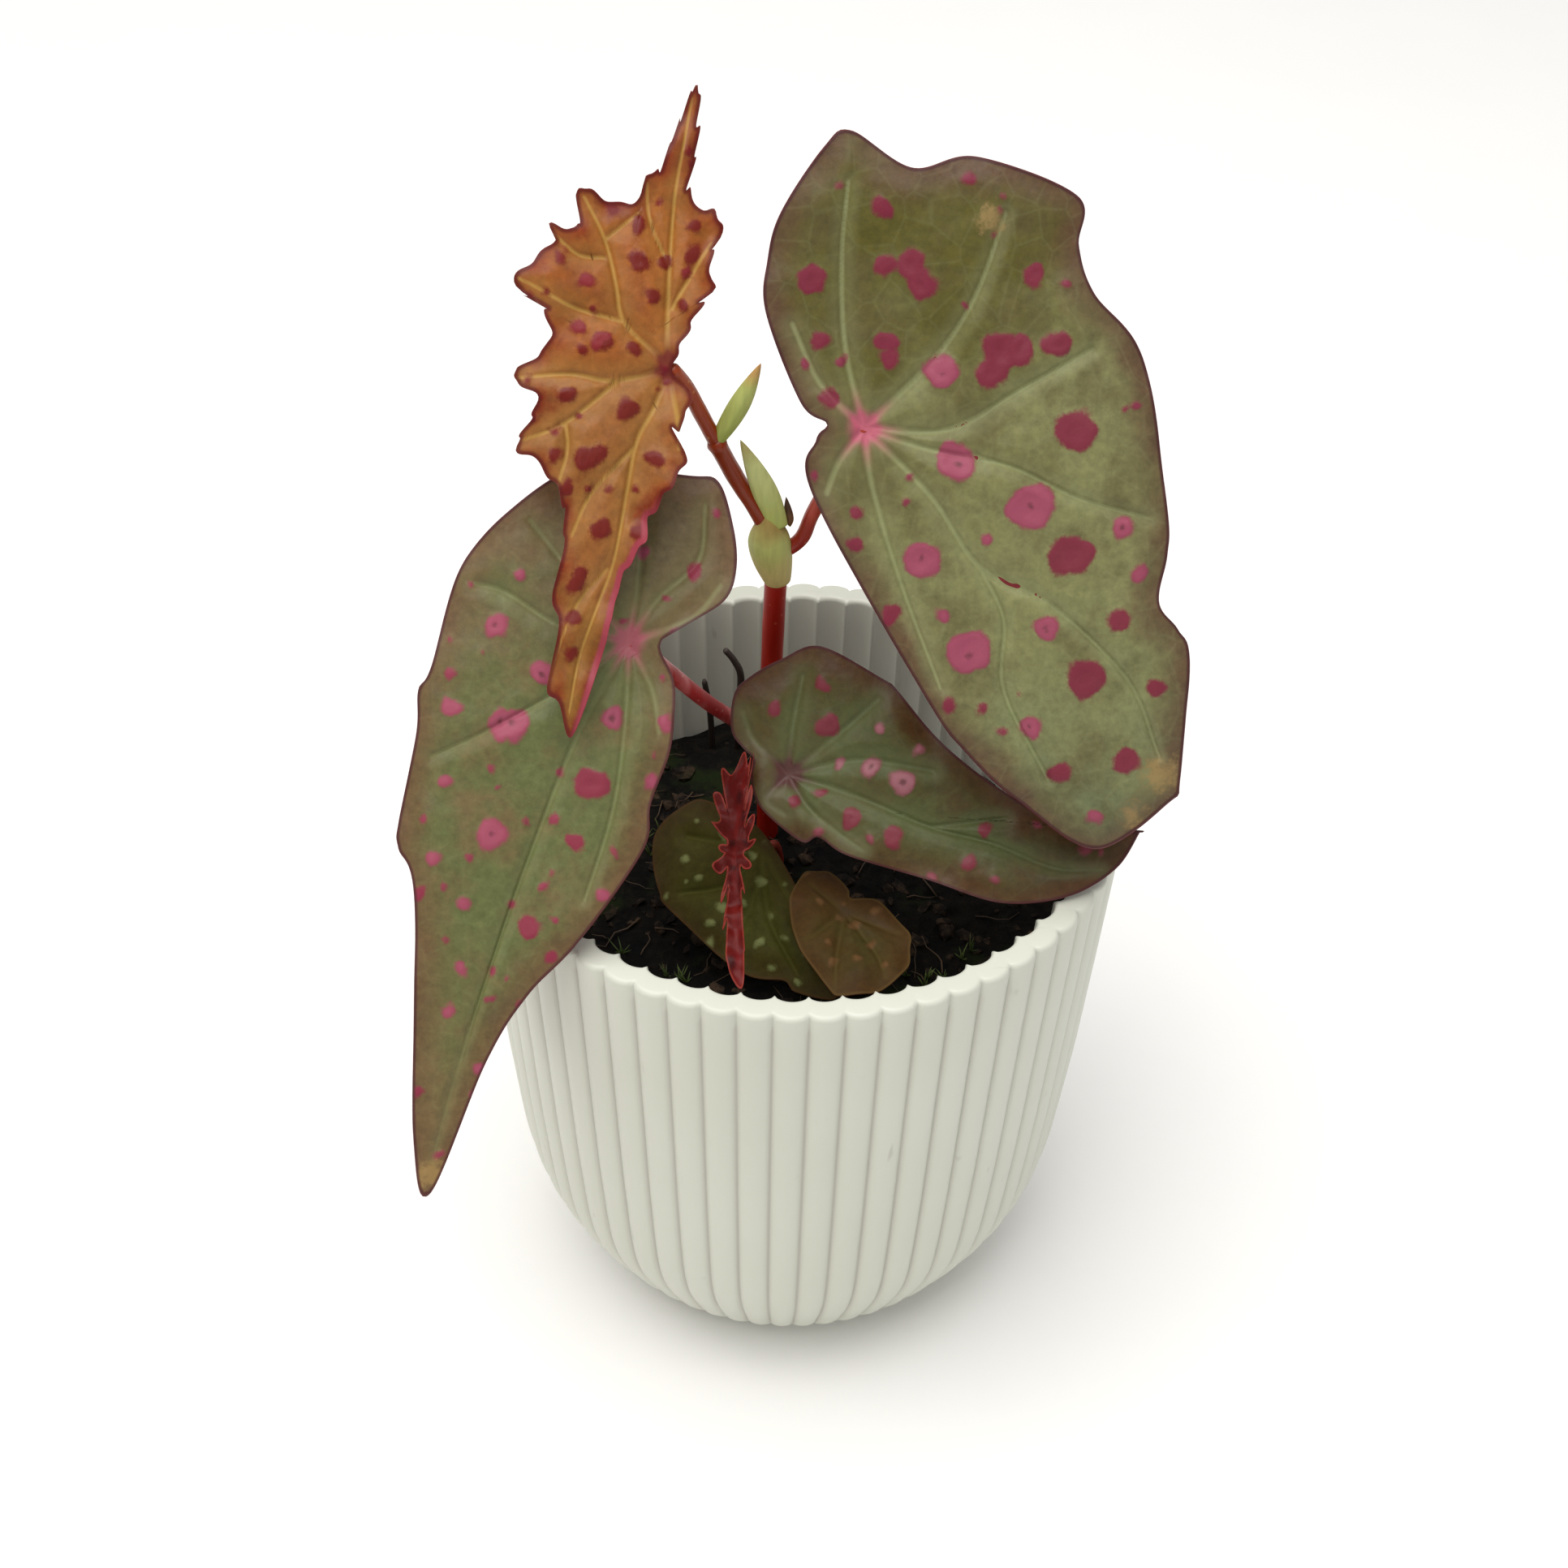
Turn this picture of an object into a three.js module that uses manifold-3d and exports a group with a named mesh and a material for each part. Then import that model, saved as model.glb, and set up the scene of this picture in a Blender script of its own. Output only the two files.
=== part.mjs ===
// Potted angel-wing begonia: a small spotted cane begonia in a fluted plastic cover pot.
// Units are millimetres, +Z is up, the front of the plant faces -Y, and the origin is the
// centre of the pot's flat base.
import * as THREE from "three";
import { mergeVertices } from "three/addons/utils/BufferGeometryUtils.js";
import Module from "manifold-3d";

// Driving dimensions.
const POT_HEIGHT = 83;
const POT_WALL = 3.4;
const POT_FLOOR = 4;
const POT_BASE_RADIUS = 25.5;
const RIBS = 60;
const RIB_DEPTH = 0.9;
const RIB_FADE_HEIGHT = 9; // the ribs run out into the smooth base over this height
const SOIL_LEVEL = 62; // at the wall
const SOIL_DOME = 3.5; // how much higher the middle stands
const GAP = 0.35; // left between neighbouring pieces
const LEAF_THICKNESS = 0.9;
const LEAF_RINGS = [0, 0.3, 0.6, 0.83, 1];
const STEM_SIDES = 8;

// Outer radius of the pot, over the tips of the ribs, at rising heights.
const POT_PROFILE = [
  [25.5, 0],
  [29.6, 4],
  [33.5, 10],
  [38.2, 21],
  [40.2, 37],
  [41.6, 58],
  [43, 83],
];

const COLOURS = {
  pot: 0xdcd8cc,
  soil: 0x1d1a17,
  cane: 0x8c1410,
  youngCane: 0xa0501c,
  petiole: 0x9a2420,
  stipule: 0xb0b062,
  twig: 0x1c1512,
  olive: 0x74784f,
  dark: 0x4f5230,
  orange: 0xb06a24,
  red: 0xb02a1c,
};

// Leaves. Each blade lies in its own frame: u runs from the petiole point to the tip, v across
// it, w out of the upper side. margin goes anticlockwise round the blade as seen from above.
const LEAVES = {
  leaf_large_right: {
    petiole: [6.4, 0, 138.4],
    tip: [36.1, -25, 95.7],
    faces: [0.01, -0.86, 0.51],
    hub: [8, 10],
    droop: [70, 5, 3],
    folds: [0.1, 0.1],
    cup: 0.25,
    spokes: 48,
    colour: COLOURS.olive,
    margin: [
      [58.5, 0], [57.5, 10.5], [55.5, 13], [43, 20.5], [39, 21], [35, 20.5], [30.5, 24],
      [25.5, 26.5], [9, 32], [-0.5, 30.5], [-6, 31.5], [-11, 34], [-20.5, 26], [-23, 19],
      [-30, 15], [-30, 11.5], [-26, 3.5], [-22, -0.5], [-17, -3.5], [-6, -5], [-2.5, -3.5],
      [-1.5, -5.5], [4, -9], [31.5, -9], [40, -8], [48, -5.5],
    ],
  },
  leaf_left: {
    petiole: [-20.7, -12, 115],
    tip: [-42.6, -56, 64.8],
    faces: [0.08, -0.77, 0.64],
    hub: [10, -6],
    droop: [80, 7, 3],
    folds: [0.08, 0.08],
    cup: 0.25,
    spokes: 48,
    colour: COLOURS.olive,
    margin: [
      [71.5, 0], [53.5, 1], [44, 3], [36, 6.5], [23, 10], [17.5, 9], [11, 9], [6.5, 8],
      [2.5, 6.5], [-1, 3.5], [-4.5, 6], [-8.5, 9], [-12.5, 9], [-17, 7], [-21.5, 3.5], [-21, 0],
      [-18, -10], [-14.5, -15.5], [-2.5, -21.5], [11, -21], [14, -21.5], [19, -20],
      [29.5, -18.5], [32.5, -17.5], [38, -13.5], [64.5, -4.5],
    ],
  },
  leaf_lower_right: {
    petiole: [-1.4, -10, 92.8],
    tip: [40.7, -18, 90.4],
    faces: [-0.1, -0.73, 0.67],
    hub: [8, -3],
    droop: [46, 2.5, 1.5],
    folds: [0.12, 0.12],
    cup: 0.35,
    spokes: 40,
    colour: COLOURS.dark,
    margin: [
      [44, 1.5], [38, 1], [32, 1.5], [27.5, 3], [22, 5.5], [17, 8.5], [11.5, 13], [9.5, 14],
      [1, 16.5], [-3.5, 14], [-7, 11], [-8.5, 8.5], [-8, 4], [-6, 2], [-4.5, 1], [-4.5, -1],
      [-3.5, -3.5], [-1.5, -5.5], [3.5, -8], [5.5, -7], [9.5, -8.5], [20, -9.5], [29.5, -10.5],
      [37.5, -8], [42.5, -3.5],
    ],
  },
  leaf_orange_young: {
    petiole: [-16.4, 3, 144],
    tip: [-26.7, -24, 110.2],
    faces: [0.08, -0.79, 0.61],
    hub: [0, -6],
    droop: [52, 2, 4],
    folds: [0.1, 0.9],
    cup: 0.15,
    spokes: 64,
    colour: COLOURS.orange,
    margin: [
      [44.5, 0], [34.5, 1], [25.5, 1], [20.5, 2.5], [17.5, 2.5], [11.5, 4.5], [9.5, 4.5],
      [7, 3], [5, 3.5], [2, 3], [0, 0.5], [-8, 2], [-10, 3], [-11, 2], [-14.5, 1.5],
      [-16.5, 2], [-19, 0.5], [-18.5, -1], [-20.5, -3], [-26.5, -3.5], [-32.5, -5.5],
      [-22, -7], [-20.5, -8.5], [-18, -8.5], [-16.5, -11], [-17, -15.5], [-12.5, -14.5],
      [-12, -17.5], [-10, -17], [-5, -20], [-3.5, -19], [-2.5, -16], [1.5, -14.5], [6, -17.5],
      [8, -14], [14, -15], [14.5, -12.5], [18, -8.5], [20.5, -7.5], [24, -6.5], [29.5, -6.4],
      [31.5, -5], [35, -4.5], [40, -4.2], [41, -2.5],
    ],
  },
  leaf_red_narrow: {
    petiole: [-8, -25, 85.4],
    tip: [-6.1, -36, 80.8],
    faces: [-0.04, -0.4, 0.92],
    hub: [-6, 1.5],
    droop: [14, 0.5, -1.5],
    folds: [0.25, 0.55],
    cup: 0,
    spokes: 44,
    colour: COLOURS.red,
    margin: [
      [12, 0], [7, 1], [3, 1.3], [0, 1.9], [-2, 2.1], [-3.5, 3.3], [-5, 3.2], [-7, 4.5],
      [-8.5, 4.8], [-10.5, 4.2], [-12.5, 4.8], [-14, 4.4], [-16.5, 5.2], [-18.5, 5.5],
      [-17.5, 4], [-17, 2.2], [-16.5, 1], [-14.5, 0.6], [-13.5, -0.4], [-12, -0.6],
      [-10.5, -1.2], [-8.5, -0.2], [-6.5, -0.8], [-4.5, -2], [-3, -1], [0, -1.2], [8.5, -1.4],
    ],
  },
  leaflet_green: {
    petiole: [-3.8, -6, 76.9],
    tip: [3.8, -24, 67.4],
    faces: [-0.1, -0.49, 0.86],
    hub: [4, -6],
    droop: [30, 2, 1],
    folds: [0.06, 0.06],
    cup: 0.3,
    spokes: 28,
    colour: COLOURS.dark,
    margin: [
      [22.5, 1.5], [19.5, 2.5], [15, 2.5], [2.5, 1], [-3.5, -1], [-8, -5], [-9, -8], [-7, -13],
      [-3, -15], [1.5, -15.5], [4, -15], [15, -9], [18, -4], [20, -3],
    ],
  },
  leaflet_brown: {
    petiole: [6.4, -18, 76.9],
    tip: [4.7, -32, 75.5],
    faces: [0.07, -0.1, 0.99],
    hub: [3.5, 1],
    droop: [20, 2, 1],
    folds: [0.08, 0.08],
    cup: 0.5,
    spokes: 28,
    colour: COLOURS.dark,
    margin: [
      [13, 1.5], [11.5, 6], [7.5, 9], [4.5, 9], [2, 8.5], [-2, 4.5], [-2.5, 2.5], [-2, 0.5],
      [-3.5, 0], [-6, -2.5], [-5.5, -4.5], [-4.5, -6], [-1.5, -7], [1, -7], [7, -5],
      [12, -0.5],
    ],
  },
};

// Stems: a route through points, and a radius. A petiole's last point is its leaf's own.
const CANES = {
  main_cane: { radius: 1.5, colour: COLOURS.cane, route: [[-4.2, 10.5, 50], [-4.1, 10.2, 82.8],
    [-3.9, 9.8, 99], [-3.6, 9.3, 110.4]] },
  upper_cane: { radius: 1.15, colour: COLOURS.youngCane, route: [[-4.3, 8.6, 113.5],
    [-5.6, 8.2, 119.1], [-8.7, 8, 125], [-11.2, 7, 131]] },
};
const PETIOLES = {
  petiole_large_leaf: { leaf: "leaf_large_right", radius: 0.95, route: [[-3.4, 9.2, 112.8],
    [-0.6, 9, 115.6], [0.9, 8.4, 120.3], [4.3, 6.5, 129.3]] },
  petiole_orange_leaf: { leaf: "leaf_orange_young", radius: 0.95, route: [[-11.2, 7, 131],
    [-13.1, 6.3, 135.7], [-14.7, 5.3, 139.9]] },
  petiole_left_leaf: { leaf: "leaf_left", radius: 1, route: [[-4.1, 10, 81], [-9.1, 4, 90],
    [-12.7, 0, 96.5], [-18.3, -6.5, 108]] },
  petiole_lower_leaf: { leaf: "leaf_lower_right", radius: 0.9, route: [[-4.1, 10, 71],
    [-3, 5, 78], [-1.7, -4, 87]] },
  petiole_red_leaf: { leaf: "leaf_red_narrow", radius: 0.6, route: [[-9, 2.5, 56],
    [-9.4, 3.2, 74], [-9.2, -1, 83], [-8.4, -13, 87.5]] },
  petiole_green_leaflet: { leaf: "leaflet_green", radius: 0.6, route: [[-1.5, 6, 56],
    [-2.6, 1.5, 69]] },
  petiole_brown_leaflet: { leaf: "leaflet_brown", radius: 0.6, route: [[9.5, -6, 56],
    [8.2, -12, 70]] },
};
const TWIGS = {
  dry_twig_tall: { radius: 0.55, route: [[-9, 29, 56], [-8.9, 28.3, 70], [-8.6, 28, 77.1],
    [-9.5, 28, 80], [-10.9, 28, 82.1]] },
  dry_twig_short: { radius: 0.5, route: [[-12.6, 30, 56], [-13, 30, 68], [-13.9, 30, 74.8]] },
};

// Papery stipules and buds: spindles from a base to a tip, with their widest radius and
// where along the length it lies.
const STIPULES = {
  node_sheath: { base: [-3.5, 8.9, 110.9], tip: [-4.5, 7.9, 119.2], radius: 2.4, widest: 0.35 },
  lower_stipule: { base: [-3.4, 7.6, 119.2], tip: [-8.3, 7.4, 131.2], radius: 1.8, widest: 0.3 },
  bract_tip: { base: [-2, 8.6, 117.6], tip: [-2.6, 8.3, 122.4], radius: 0.6, widest: 0.3 },
  upper_stipule_bud: { base: [-10.4, 7, 132.3], tip: [-5.9, 6.6, 142.6], radius: 1.3,
    widest: 0.35 },
};

const UP = new THREE.Vector3(0, 0, 1);

const wasm = await Module();
wasm.setup();

function vector(point) {
  return new THREE.Vector3(...point);
}

// The outer radius over the rib tips at height z, read off a smooth curve.
const potCurve = new THREE.SplineCurve(POT_PROFILE.map(([r, z]) => new THREE.Vector2(r, z)));
const POT_SAMPLES = potCurve.getPoints(240);

function potRadius(z) {
  const above = POT_SAMPLES.findIndex((p) => p.y >= z);
  if (above <= 0) return above === 0 ? POT_SAMPLES[0].x : POT_SAMPLES.at(-1).x;
  const [a, b] = [POT_SAMPLES[above - 1], POT_SAMPLES[above]];
  return THREE.MathUtils.mapLinear(z, a.y, b.y, a.x, b.x);
}

// How far the wall is drawn in between two ribs, at an angle and a height.
function ribInset(angle, z) {
  const fade = THREE.MathUtils.smoothstep(z, 0, RIB_FADE_HEIGHT);
  return RIB_DEPTH * fade * (1 - Math.abs(Math.cos((RIBS * angle) / 2)));
}

// Turns a profile in (radius, height) about the vertical axis.
function turned(profile, segments) {
  const lathe = new THREE.LatheGeometry(profile, segments);
  return lathe.rotateX(Math.PI / 2);
}

// Only positions, with shared vertices merged, so that the geometry is one closed surface.
function welded(geometry) {
  const bare = new THREE.BufferGeometry();
  bare.setAttribute("position", geometry.getAttribute("position"));
  bare.setIndex(geometry.getIndex());
  return mergeVertices(bare, 1e-4);
}

function toSolid(geometry) {
  const closed = welded(geometry);
  return new wasm.Manifold(
    new wasm.Mesh({
      numProp: 3,
      vertProperties: new Float32Array(closed.getAttribute("position").array),
      triVerts: new Uint32Array(closed.getIndex().array),
    }),
  );
}

function toGeometry(solid) {
  const mesh = solid.getMesh();
  const geometry = new THREE.BufferGeometry();
  geometry.setAttribute("position", new THREE.BufferAttribute(mesh.vertProperties, 3));
  geometry.setIndex(new THREE.BufferAttribute(mesh.triVerts, 1));
  return geometry;
}

// Cuts the piece back from each fattened neighbour, and keeps the largest body that is left.
function cutBack(geometry, neighbours) {
  const piece = neighbours.reduce(
    (solid, neighbour) => solid.subtract(toSolid(neighbour)),
    toSolid(geometry),
  );
  const bodies = piece.decompose();
  return toGeometry(bodies.reduce((a, b) => (b.volume() > a.volume() ? b : a)));
}

// The fluted cover pot: a corrugated wall of even thickness on a smooth flat base.
function makePot() {
  const heights = [0, 4, 10, 21, 37, 58, POT_HEIGHT];
  const outside = heights.map((z) => new THREE.Vector2(potRadius(z), z));
  const inside = heights.slice(2).map((z) => new THREE.Vector2(potRadius(z) - POT_WALL, z));
  const profile = [
    new THREE.Vector2(0, 0),
    ...outside,
    ...inside.reverse(),
    new THREE.Vector2(POT_BASE_RADIUS - 2, POT_FLOOR),
    new THREE.Vector2(0, POT_FLOOR),
  ];
  const geometry = turned(profile, 2 * RIBS);
  const position = geometry.getAttribute("position");
  for (let i = 0; i < position.count; i += 1) {
    const [x, y, z] = [position.getX(i), position.getY(i), position.getZ(i)];
    const radius = Math.hypot(x, y);
    if (radius < POT_BASE_RADIUS) continue;
    const scale = 1 - ribInset(Math.atan2(x, -y), z) / radius;
    position.setXYZ(i, x * scale, y * scale, z);
  }
  return geometry;
}

// The potting soil fills the pot and rises a little towards the middle.
function makeSoil() {
  const side = POT_WALL + RIB_DEPTH + 1.5 * GAP;
  const profile = [
    new THREE.Vector2(0, POT_FLOOR + GAP),
    new THREE.Vector2(POT_BASE_RADIUS - 4, POT_FLOOR + GAP),
  ];
  for (const z of [11, 21, 37, SOIL_LEVEL]) {
    profile.push(new THREE.Vector2(potRadius(z) - side, z));
  }
  const edge = potRadius(SOIL_LEVEL) - side;
  for (const share of [0.85, 0.6, 0.3, 0]) {
    profile.push(new THREE.Vector2(edge * share, SOIL_LEVEL + SOIL_DOME * (1 - share ** 2)));
  }
  return turned(profile, 48);
}

// A round stem along a smooth route. A fattened one is wider and longer by extra.
function makeStem(route, radius, extra = 0) {
  const points = route.map(vector);
  const lengthen = (end, next) => end.add(end.clone().sub(next).setLength(extra));
  lengthen(points[0], points[1]);
  lengthen(points.at(-1), points.at(-2));
  const path = new THREE.CatmullRomCurve3(points);
  const section = new THREE.Shape(
    Array.from({ length: STEM_SIDES }, (_, i) => {
      const angle = (2 * Math.PI * i) / STEM_SIDES;
      return new THREE.Vector2(Math.cos(angle), Math.sin(angle)).multiplyScalar(radius + extra);
    }),
  );
  const steps = Math.max(4, Math.round(path.getLength() / 4));
  return new THREE.ExtrudeGeometry(section, { steps, extrudePath: path });
}

// A spindle-shaped bud or stipule from its base to its tip.
function makeStipule({ base, tip, radius, widest }, extra = 0) {
  const start = vector(base);
  const along = vector(tip).sub(start);
  const length = along.length();
  const rings = 8;
  const profile = Array.from({ length: rings + 1 }, (_, i) => {
    const share = i / rings;
    const side = share < widest ? share / widest : (1 - share) / (1 - widest);
    const width = radius * Math.sin((Math.PI / 2) * Math.min(1, side)) ** 0.8;
    const end = i === 0 || i === rings;
    return new THREE.Vector2(end ? 0 : width + extra, share * length);
  });
  profile[0].y -= extra;
  profile[rings].y += extra;
  const geometry = turned(profile, 10);
  const turn = new THREE.Quaternion().setFromUnitVectors(UP, along.normalize());
  return geometry.applyQuaternion(turn).translate(start.x, start.y, start.z);
}

// The leaf's frame: u to the tip, v across, w out of the upper side.
function leafAxes(leaf) {
  const u = vector(leaf.tip).sub(vector(leaf.petiole)).normalize();
  const faces = vector(leaf.faces);
  const w = faces.addScaledVector(u, -faces.dot(u)).normalize();
  const v = new THREE.Vector3().crossVectors(w, u);
  return { u, v, w };
}

// Height of the blade over its flat plane: it droops to the tip and the lobes, folds up a
// little on both sides of the midrib, and cups downwards.
function bladeHeight(leaf, u, v) {
  const [length, tipDroop, lobeDroop] = leaf.droop;
  const share = u / length;
  const droop = share > 0 ? tipDroop * share ** 2 : lobeDroop * share ** 2;
  const fold = leaf.folds[v > 0 ? 1 : 0];
  const softness = 1.5;
  const crease = Math.hypot(v, softness) - softness;
  return fold * crease - droop - leaf.cup * (v / 10) ** 2;
}

// A blade: a turned disc whose spokes are stretched from the hub to the margin, then bent.
// A fattened one is thicker on each side, and wider, by extra.
function makeLeaf(leaf, extra = 0) {
  const margin = leaf.margin.map(([u, v]) => new THREE.Vector3(u, v, 0));
  const outline = new THREE.CatmullRomCurve3(margin, true, "catmullrom", 0.5);
  const ends = outline.getSpacedPoints(leaf.spokes);
  const half = LEAF_THICKNESS / 2 + extra;
  const under = LEAF_RINGS.map((ring) => new THREE.Vector2(ring, -half));
  const over = LEAF_RINGS.map((ring) => new THREE.Vector2(ring, half)).reverse();
  const profile = [...under, ...over];
  const geometry = new THREE.LatheGeometry(profile, leaf.spokes);
  const axes = leafAxes(leaf);
  const position = geometry.getAttribute("position");
  const hub = new THREE.Vector3(...leaf.hub, 0);
  for (let i = 0; i < position.count; i += 1) {
    const { x: ring, y: side } = profile[i % profile.length];
    const end = ends[Math.floor(i / profile.length) % leaf.spokes].clone();
    end.add(end.clone().sub(hub).setLength(extra));
    const flat = hub.clone().lerp(end, ring);
    const point = vector(leaf.petiole)
      .addScaledVector(axes.u, flat.x)
      .addScaledVector(axes.v, flat.y)
      .addScaledVector(axes.w, bladeHeight(leaf, flat.x, flat.y) + side);
    position.setXYZ(i, point.x, point.y, point.z);
  }
  return geometry;
}

// Where a petiole meets the underside of its leaf.
function petioleEnd(leaf) {
  const { w } = leafAxes(leaf);
  return vector(leaf.petiole).addScaledVector(w, bladeHeight(leaf, 0, 0) - 0.6).toArray();
}

const plant = new THREE.Group();

function addPiece(name, geometry, colour, roughness) {
  const shaded = welded(geometry);
  shaded.computeVertexNormals();
  const material = new THREE.MeshStandardMaterial({ color: colour, roughness, metalness: 0 });
  const mesh = new THREE.Mesh(shaded, material);
  mesh.name = name;
  plant.add(mesh);
}

const fatLeaves = {};
for (const [name, leaf] of Object.entries(LEAVES)) {
  fatLeaves[name] = makeLeaf(leaf, GAP);
  addPiece(name, makeLeaf(leaf), leaf.colour, 0.45);
}

const fatSheath = makeStipule(STIPULES.node_sheath, GAP);
const fatCane = makeStem(CANES.main_cane.route, CANES.main_cane.radius, GAP);
const fatUpperCane = makeStem(CANES.upper_cane.route, CANES.upper_cane.radius, GAP);
const upperCane = makeStem(CANES.upper_cane.route, CANES.upper_cane.radius);
addPiece("main_cane", makeStem(CANES.main_cane.route, CANES.main_cane.radius), COLOURS.cane, 0.4);
addPiece("upper_cane", cutBack(upperCane, [fatSheath]), COLOURS.youngCane, 0.4);

const rooted = [fatCane];
const fatPetioles = [];
for (const [name, { leaf, radius, route }] of Object.entries(PETIOLES)) {
  const whole = [...route, petioleEnd(LEAVES[leaf])];
  const fat = makeStem(whole, radius, GAP);
  const neighbours = [fatLeaves[leaf], fatCane, fatUpperCane, fatSheath];
  addPiece(name, cutBack(makeStem(whole, radius), neighbours), COLOURS.petiole, 0.45);
  fatPetioles.push(fat);
  if (route[0][2] < SOIL_LEVEL) rooted.push(fat);
}

for (const [name, stipule] of Object.entries(STIPULES)) {
  const neighbours = name === "node_sheath" ? [fatCane] : [fatUpperCane, fatSheath, ...fatPetioles];
  addPiece(name, cutBack(makeStipule(stipule), neighbours), COLOURS.stipule, 0.6);
}

for (const [name, { radius, route }] of Object.entries(TWIGS)) {
  addPiece(name, makeStem(route, radius), COLOURS.twig, 0.9);
  rooted.push(makeStem(route, radius, GAP));
}

addPiece("fluted_pot", makePot(), COLOURS.pot, 0.45);
addPiece("potting_soil", cutBack(makeSoil(), rooted), COLOURS.soil, 0.95);

export default plant;
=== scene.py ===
"""A small angel-wing begonia in a fluted plastic cover pot.

The frame gives the pot, the soil, the canes and plain leaf blades. This script dresses them:
it models the corrugated pot with its rounded rim, the crumbly soil, the fleshy canes and
stipules, and every blade with its veins, spots, ruffled margin and red underside.
"""

import logging
import math
from dataclasses import dataclass, field
from enum import Enum
from typing import Any, Callable, Sequence

import bmesh
import bpy
import numpy as np
from mathutils import Matrix, Vector, noise

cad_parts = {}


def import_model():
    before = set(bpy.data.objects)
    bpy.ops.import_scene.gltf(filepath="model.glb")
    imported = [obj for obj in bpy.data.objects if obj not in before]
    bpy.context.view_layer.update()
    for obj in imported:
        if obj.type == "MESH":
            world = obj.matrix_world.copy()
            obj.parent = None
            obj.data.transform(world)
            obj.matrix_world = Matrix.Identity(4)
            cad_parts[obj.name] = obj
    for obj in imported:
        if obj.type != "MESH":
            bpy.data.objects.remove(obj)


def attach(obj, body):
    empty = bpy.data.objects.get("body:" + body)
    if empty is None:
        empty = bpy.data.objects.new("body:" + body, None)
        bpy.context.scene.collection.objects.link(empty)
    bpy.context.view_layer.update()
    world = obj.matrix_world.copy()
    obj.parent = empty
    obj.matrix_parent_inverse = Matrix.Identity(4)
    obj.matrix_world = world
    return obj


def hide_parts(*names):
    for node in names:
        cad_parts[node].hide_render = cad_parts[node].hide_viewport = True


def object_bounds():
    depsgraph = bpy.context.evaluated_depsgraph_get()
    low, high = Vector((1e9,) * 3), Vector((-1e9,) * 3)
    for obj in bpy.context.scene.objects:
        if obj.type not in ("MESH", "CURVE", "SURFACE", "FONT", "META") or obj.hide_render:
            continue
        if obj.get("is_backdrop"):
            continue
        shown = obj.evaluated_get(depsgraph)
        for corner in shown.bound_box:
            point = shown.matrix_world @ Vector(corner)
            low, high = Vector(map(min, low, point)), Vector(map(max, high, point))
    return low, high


LOG = logging.getLogger("begonia")

MM = 0.001
# A tooth's cut is taken no deeper than this share of its spoke, whatever the margin's slant.
DEEPEST_CUT = 0.45
# The least slant between a spoke and its margin that a tooth's depth is corrected for.
LEAST_SLANT = 0.3
BODY = "root"

# ShaderNodeMix sockets by position, because its colour and number sockets share their names.
MIX_A, MIX_B, MIX_OUT = 6, 7, 2

Point = tuple[float, float, float]
Flat = tuple[float, float]


def linear(hex_code: str) -> tuple[float, float, float, float]:
    """Turn an sRGB hex colour into the linear colour a shader takes.

    Args:
        hex_code: Six hex digits after a hash sign.

    Returns:
        Red, green, blue and an alpha of one.
    """
    parts = [int(hex_code[i : i + 2], 16) / 255 for i in (1, 3, 5)]
    red, green, blue = (
        c / 12.92 if c <= 0.04045 else ((c + 0.055) / 1.055) ** 2.4 for c in parts
    )
    return red, green, blue, 1.0


class Recipe:
    """A material's node tree, built one node at a time round its own shader."""

    def __init__(self, name: str, **shader: Any) -> None:
        """Start a material.

        Args:
            name: The finish, in a maker's words.
            **shader: Values for the shader's own sockets, with spaces as underscores.
        """
        self.material = bpy.data.materials.new(name)
        self.material.use_nodes = True
        self.tree = self.material.node_tree
        self.shader = self.tree.nodes["Principled BSDF"]
        for socket, value in shader.items():
            self.shader.inputs[socket.replace("_", " ")].default_value = value

    def add(self, kind: str, settings: dict[str, Any], inputs: dict[Any, Any]) -> bpy.types.Node:
        """Add a node with its settings and links.

        Args:
            kind: The node's type, without the ShaderNode in front.
            settings: The node's own properties.
            inputs: Socket name or place to a value, or to the socket that feeds it.

        Returns:
            The new node.
        """
        node = self.tree.nodes.new("ShaderNode" + kind)
        for key, value in settings.items():
            setattr(node, key, value)
        for key, value in inputs.items():
            if isinstance(value, bpy.types.NodeSocket):
                self.tree.links.new(value, node.inputs[key])
            else:
                node.inputs[key].default_value = value
        return node

    def feed(self, socket: str, source: bpy.types.NodeSocket) -> None:
        """Link a source to one of the shader's sockets."""
        self.tree.links.new(source, self.shader.inputs[socket])


def smooth_step(value: np.ndarray, low: float, high: float) -> np.ndarray:
    """Rise smoothly from nought at low to one at high."""
    share = np.clip((value - low) / (high - low), 0.0, 1.0)
    return share * share * (3 - 2 * share)


def closed_curve(points: Sequence[Flat], count: int) -> np.ndarray:
    """Lay evenly spaced points on a smooth closed curve through a few points.

    Args:
        points: The curve's own points, in order.
        count: How many evenly spaced points to lay.

    Returns:
        An array of count points.
    """
    knots = np.array(points)
    t = np.linspace(0, 1, 24, endpoint=False)[:, None]
    pieces = []
    for i in range(len(knots)):
        a, b, c, d = (knots[(i + k) % len(knots)] for k in (-1, 0, 1, 2))
        pieces.append(
            0.5 * (2 * b + (c - a) * t + (2 * a - 5 * b + 4 * c - d) * t**2
                   + (3 * b - a - 3 * c + d) * t**3)
        )
    fine = np.vstack(pieces)
    steps = np.linalg.norm(np.diff(fine, axis=0, append=fine[:1]), axis=1)
    run = np.concatenate([[0.0], np.cumsum(steps)])
    wanted = np.linspace(0, run[-1], count, endpoint=False)
    looped = np.vstack([fine, fine[:1]])
    return np.column_stack([np.interp(wanted, run, looped[:, k]) for k in (0, 1)])


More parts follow.
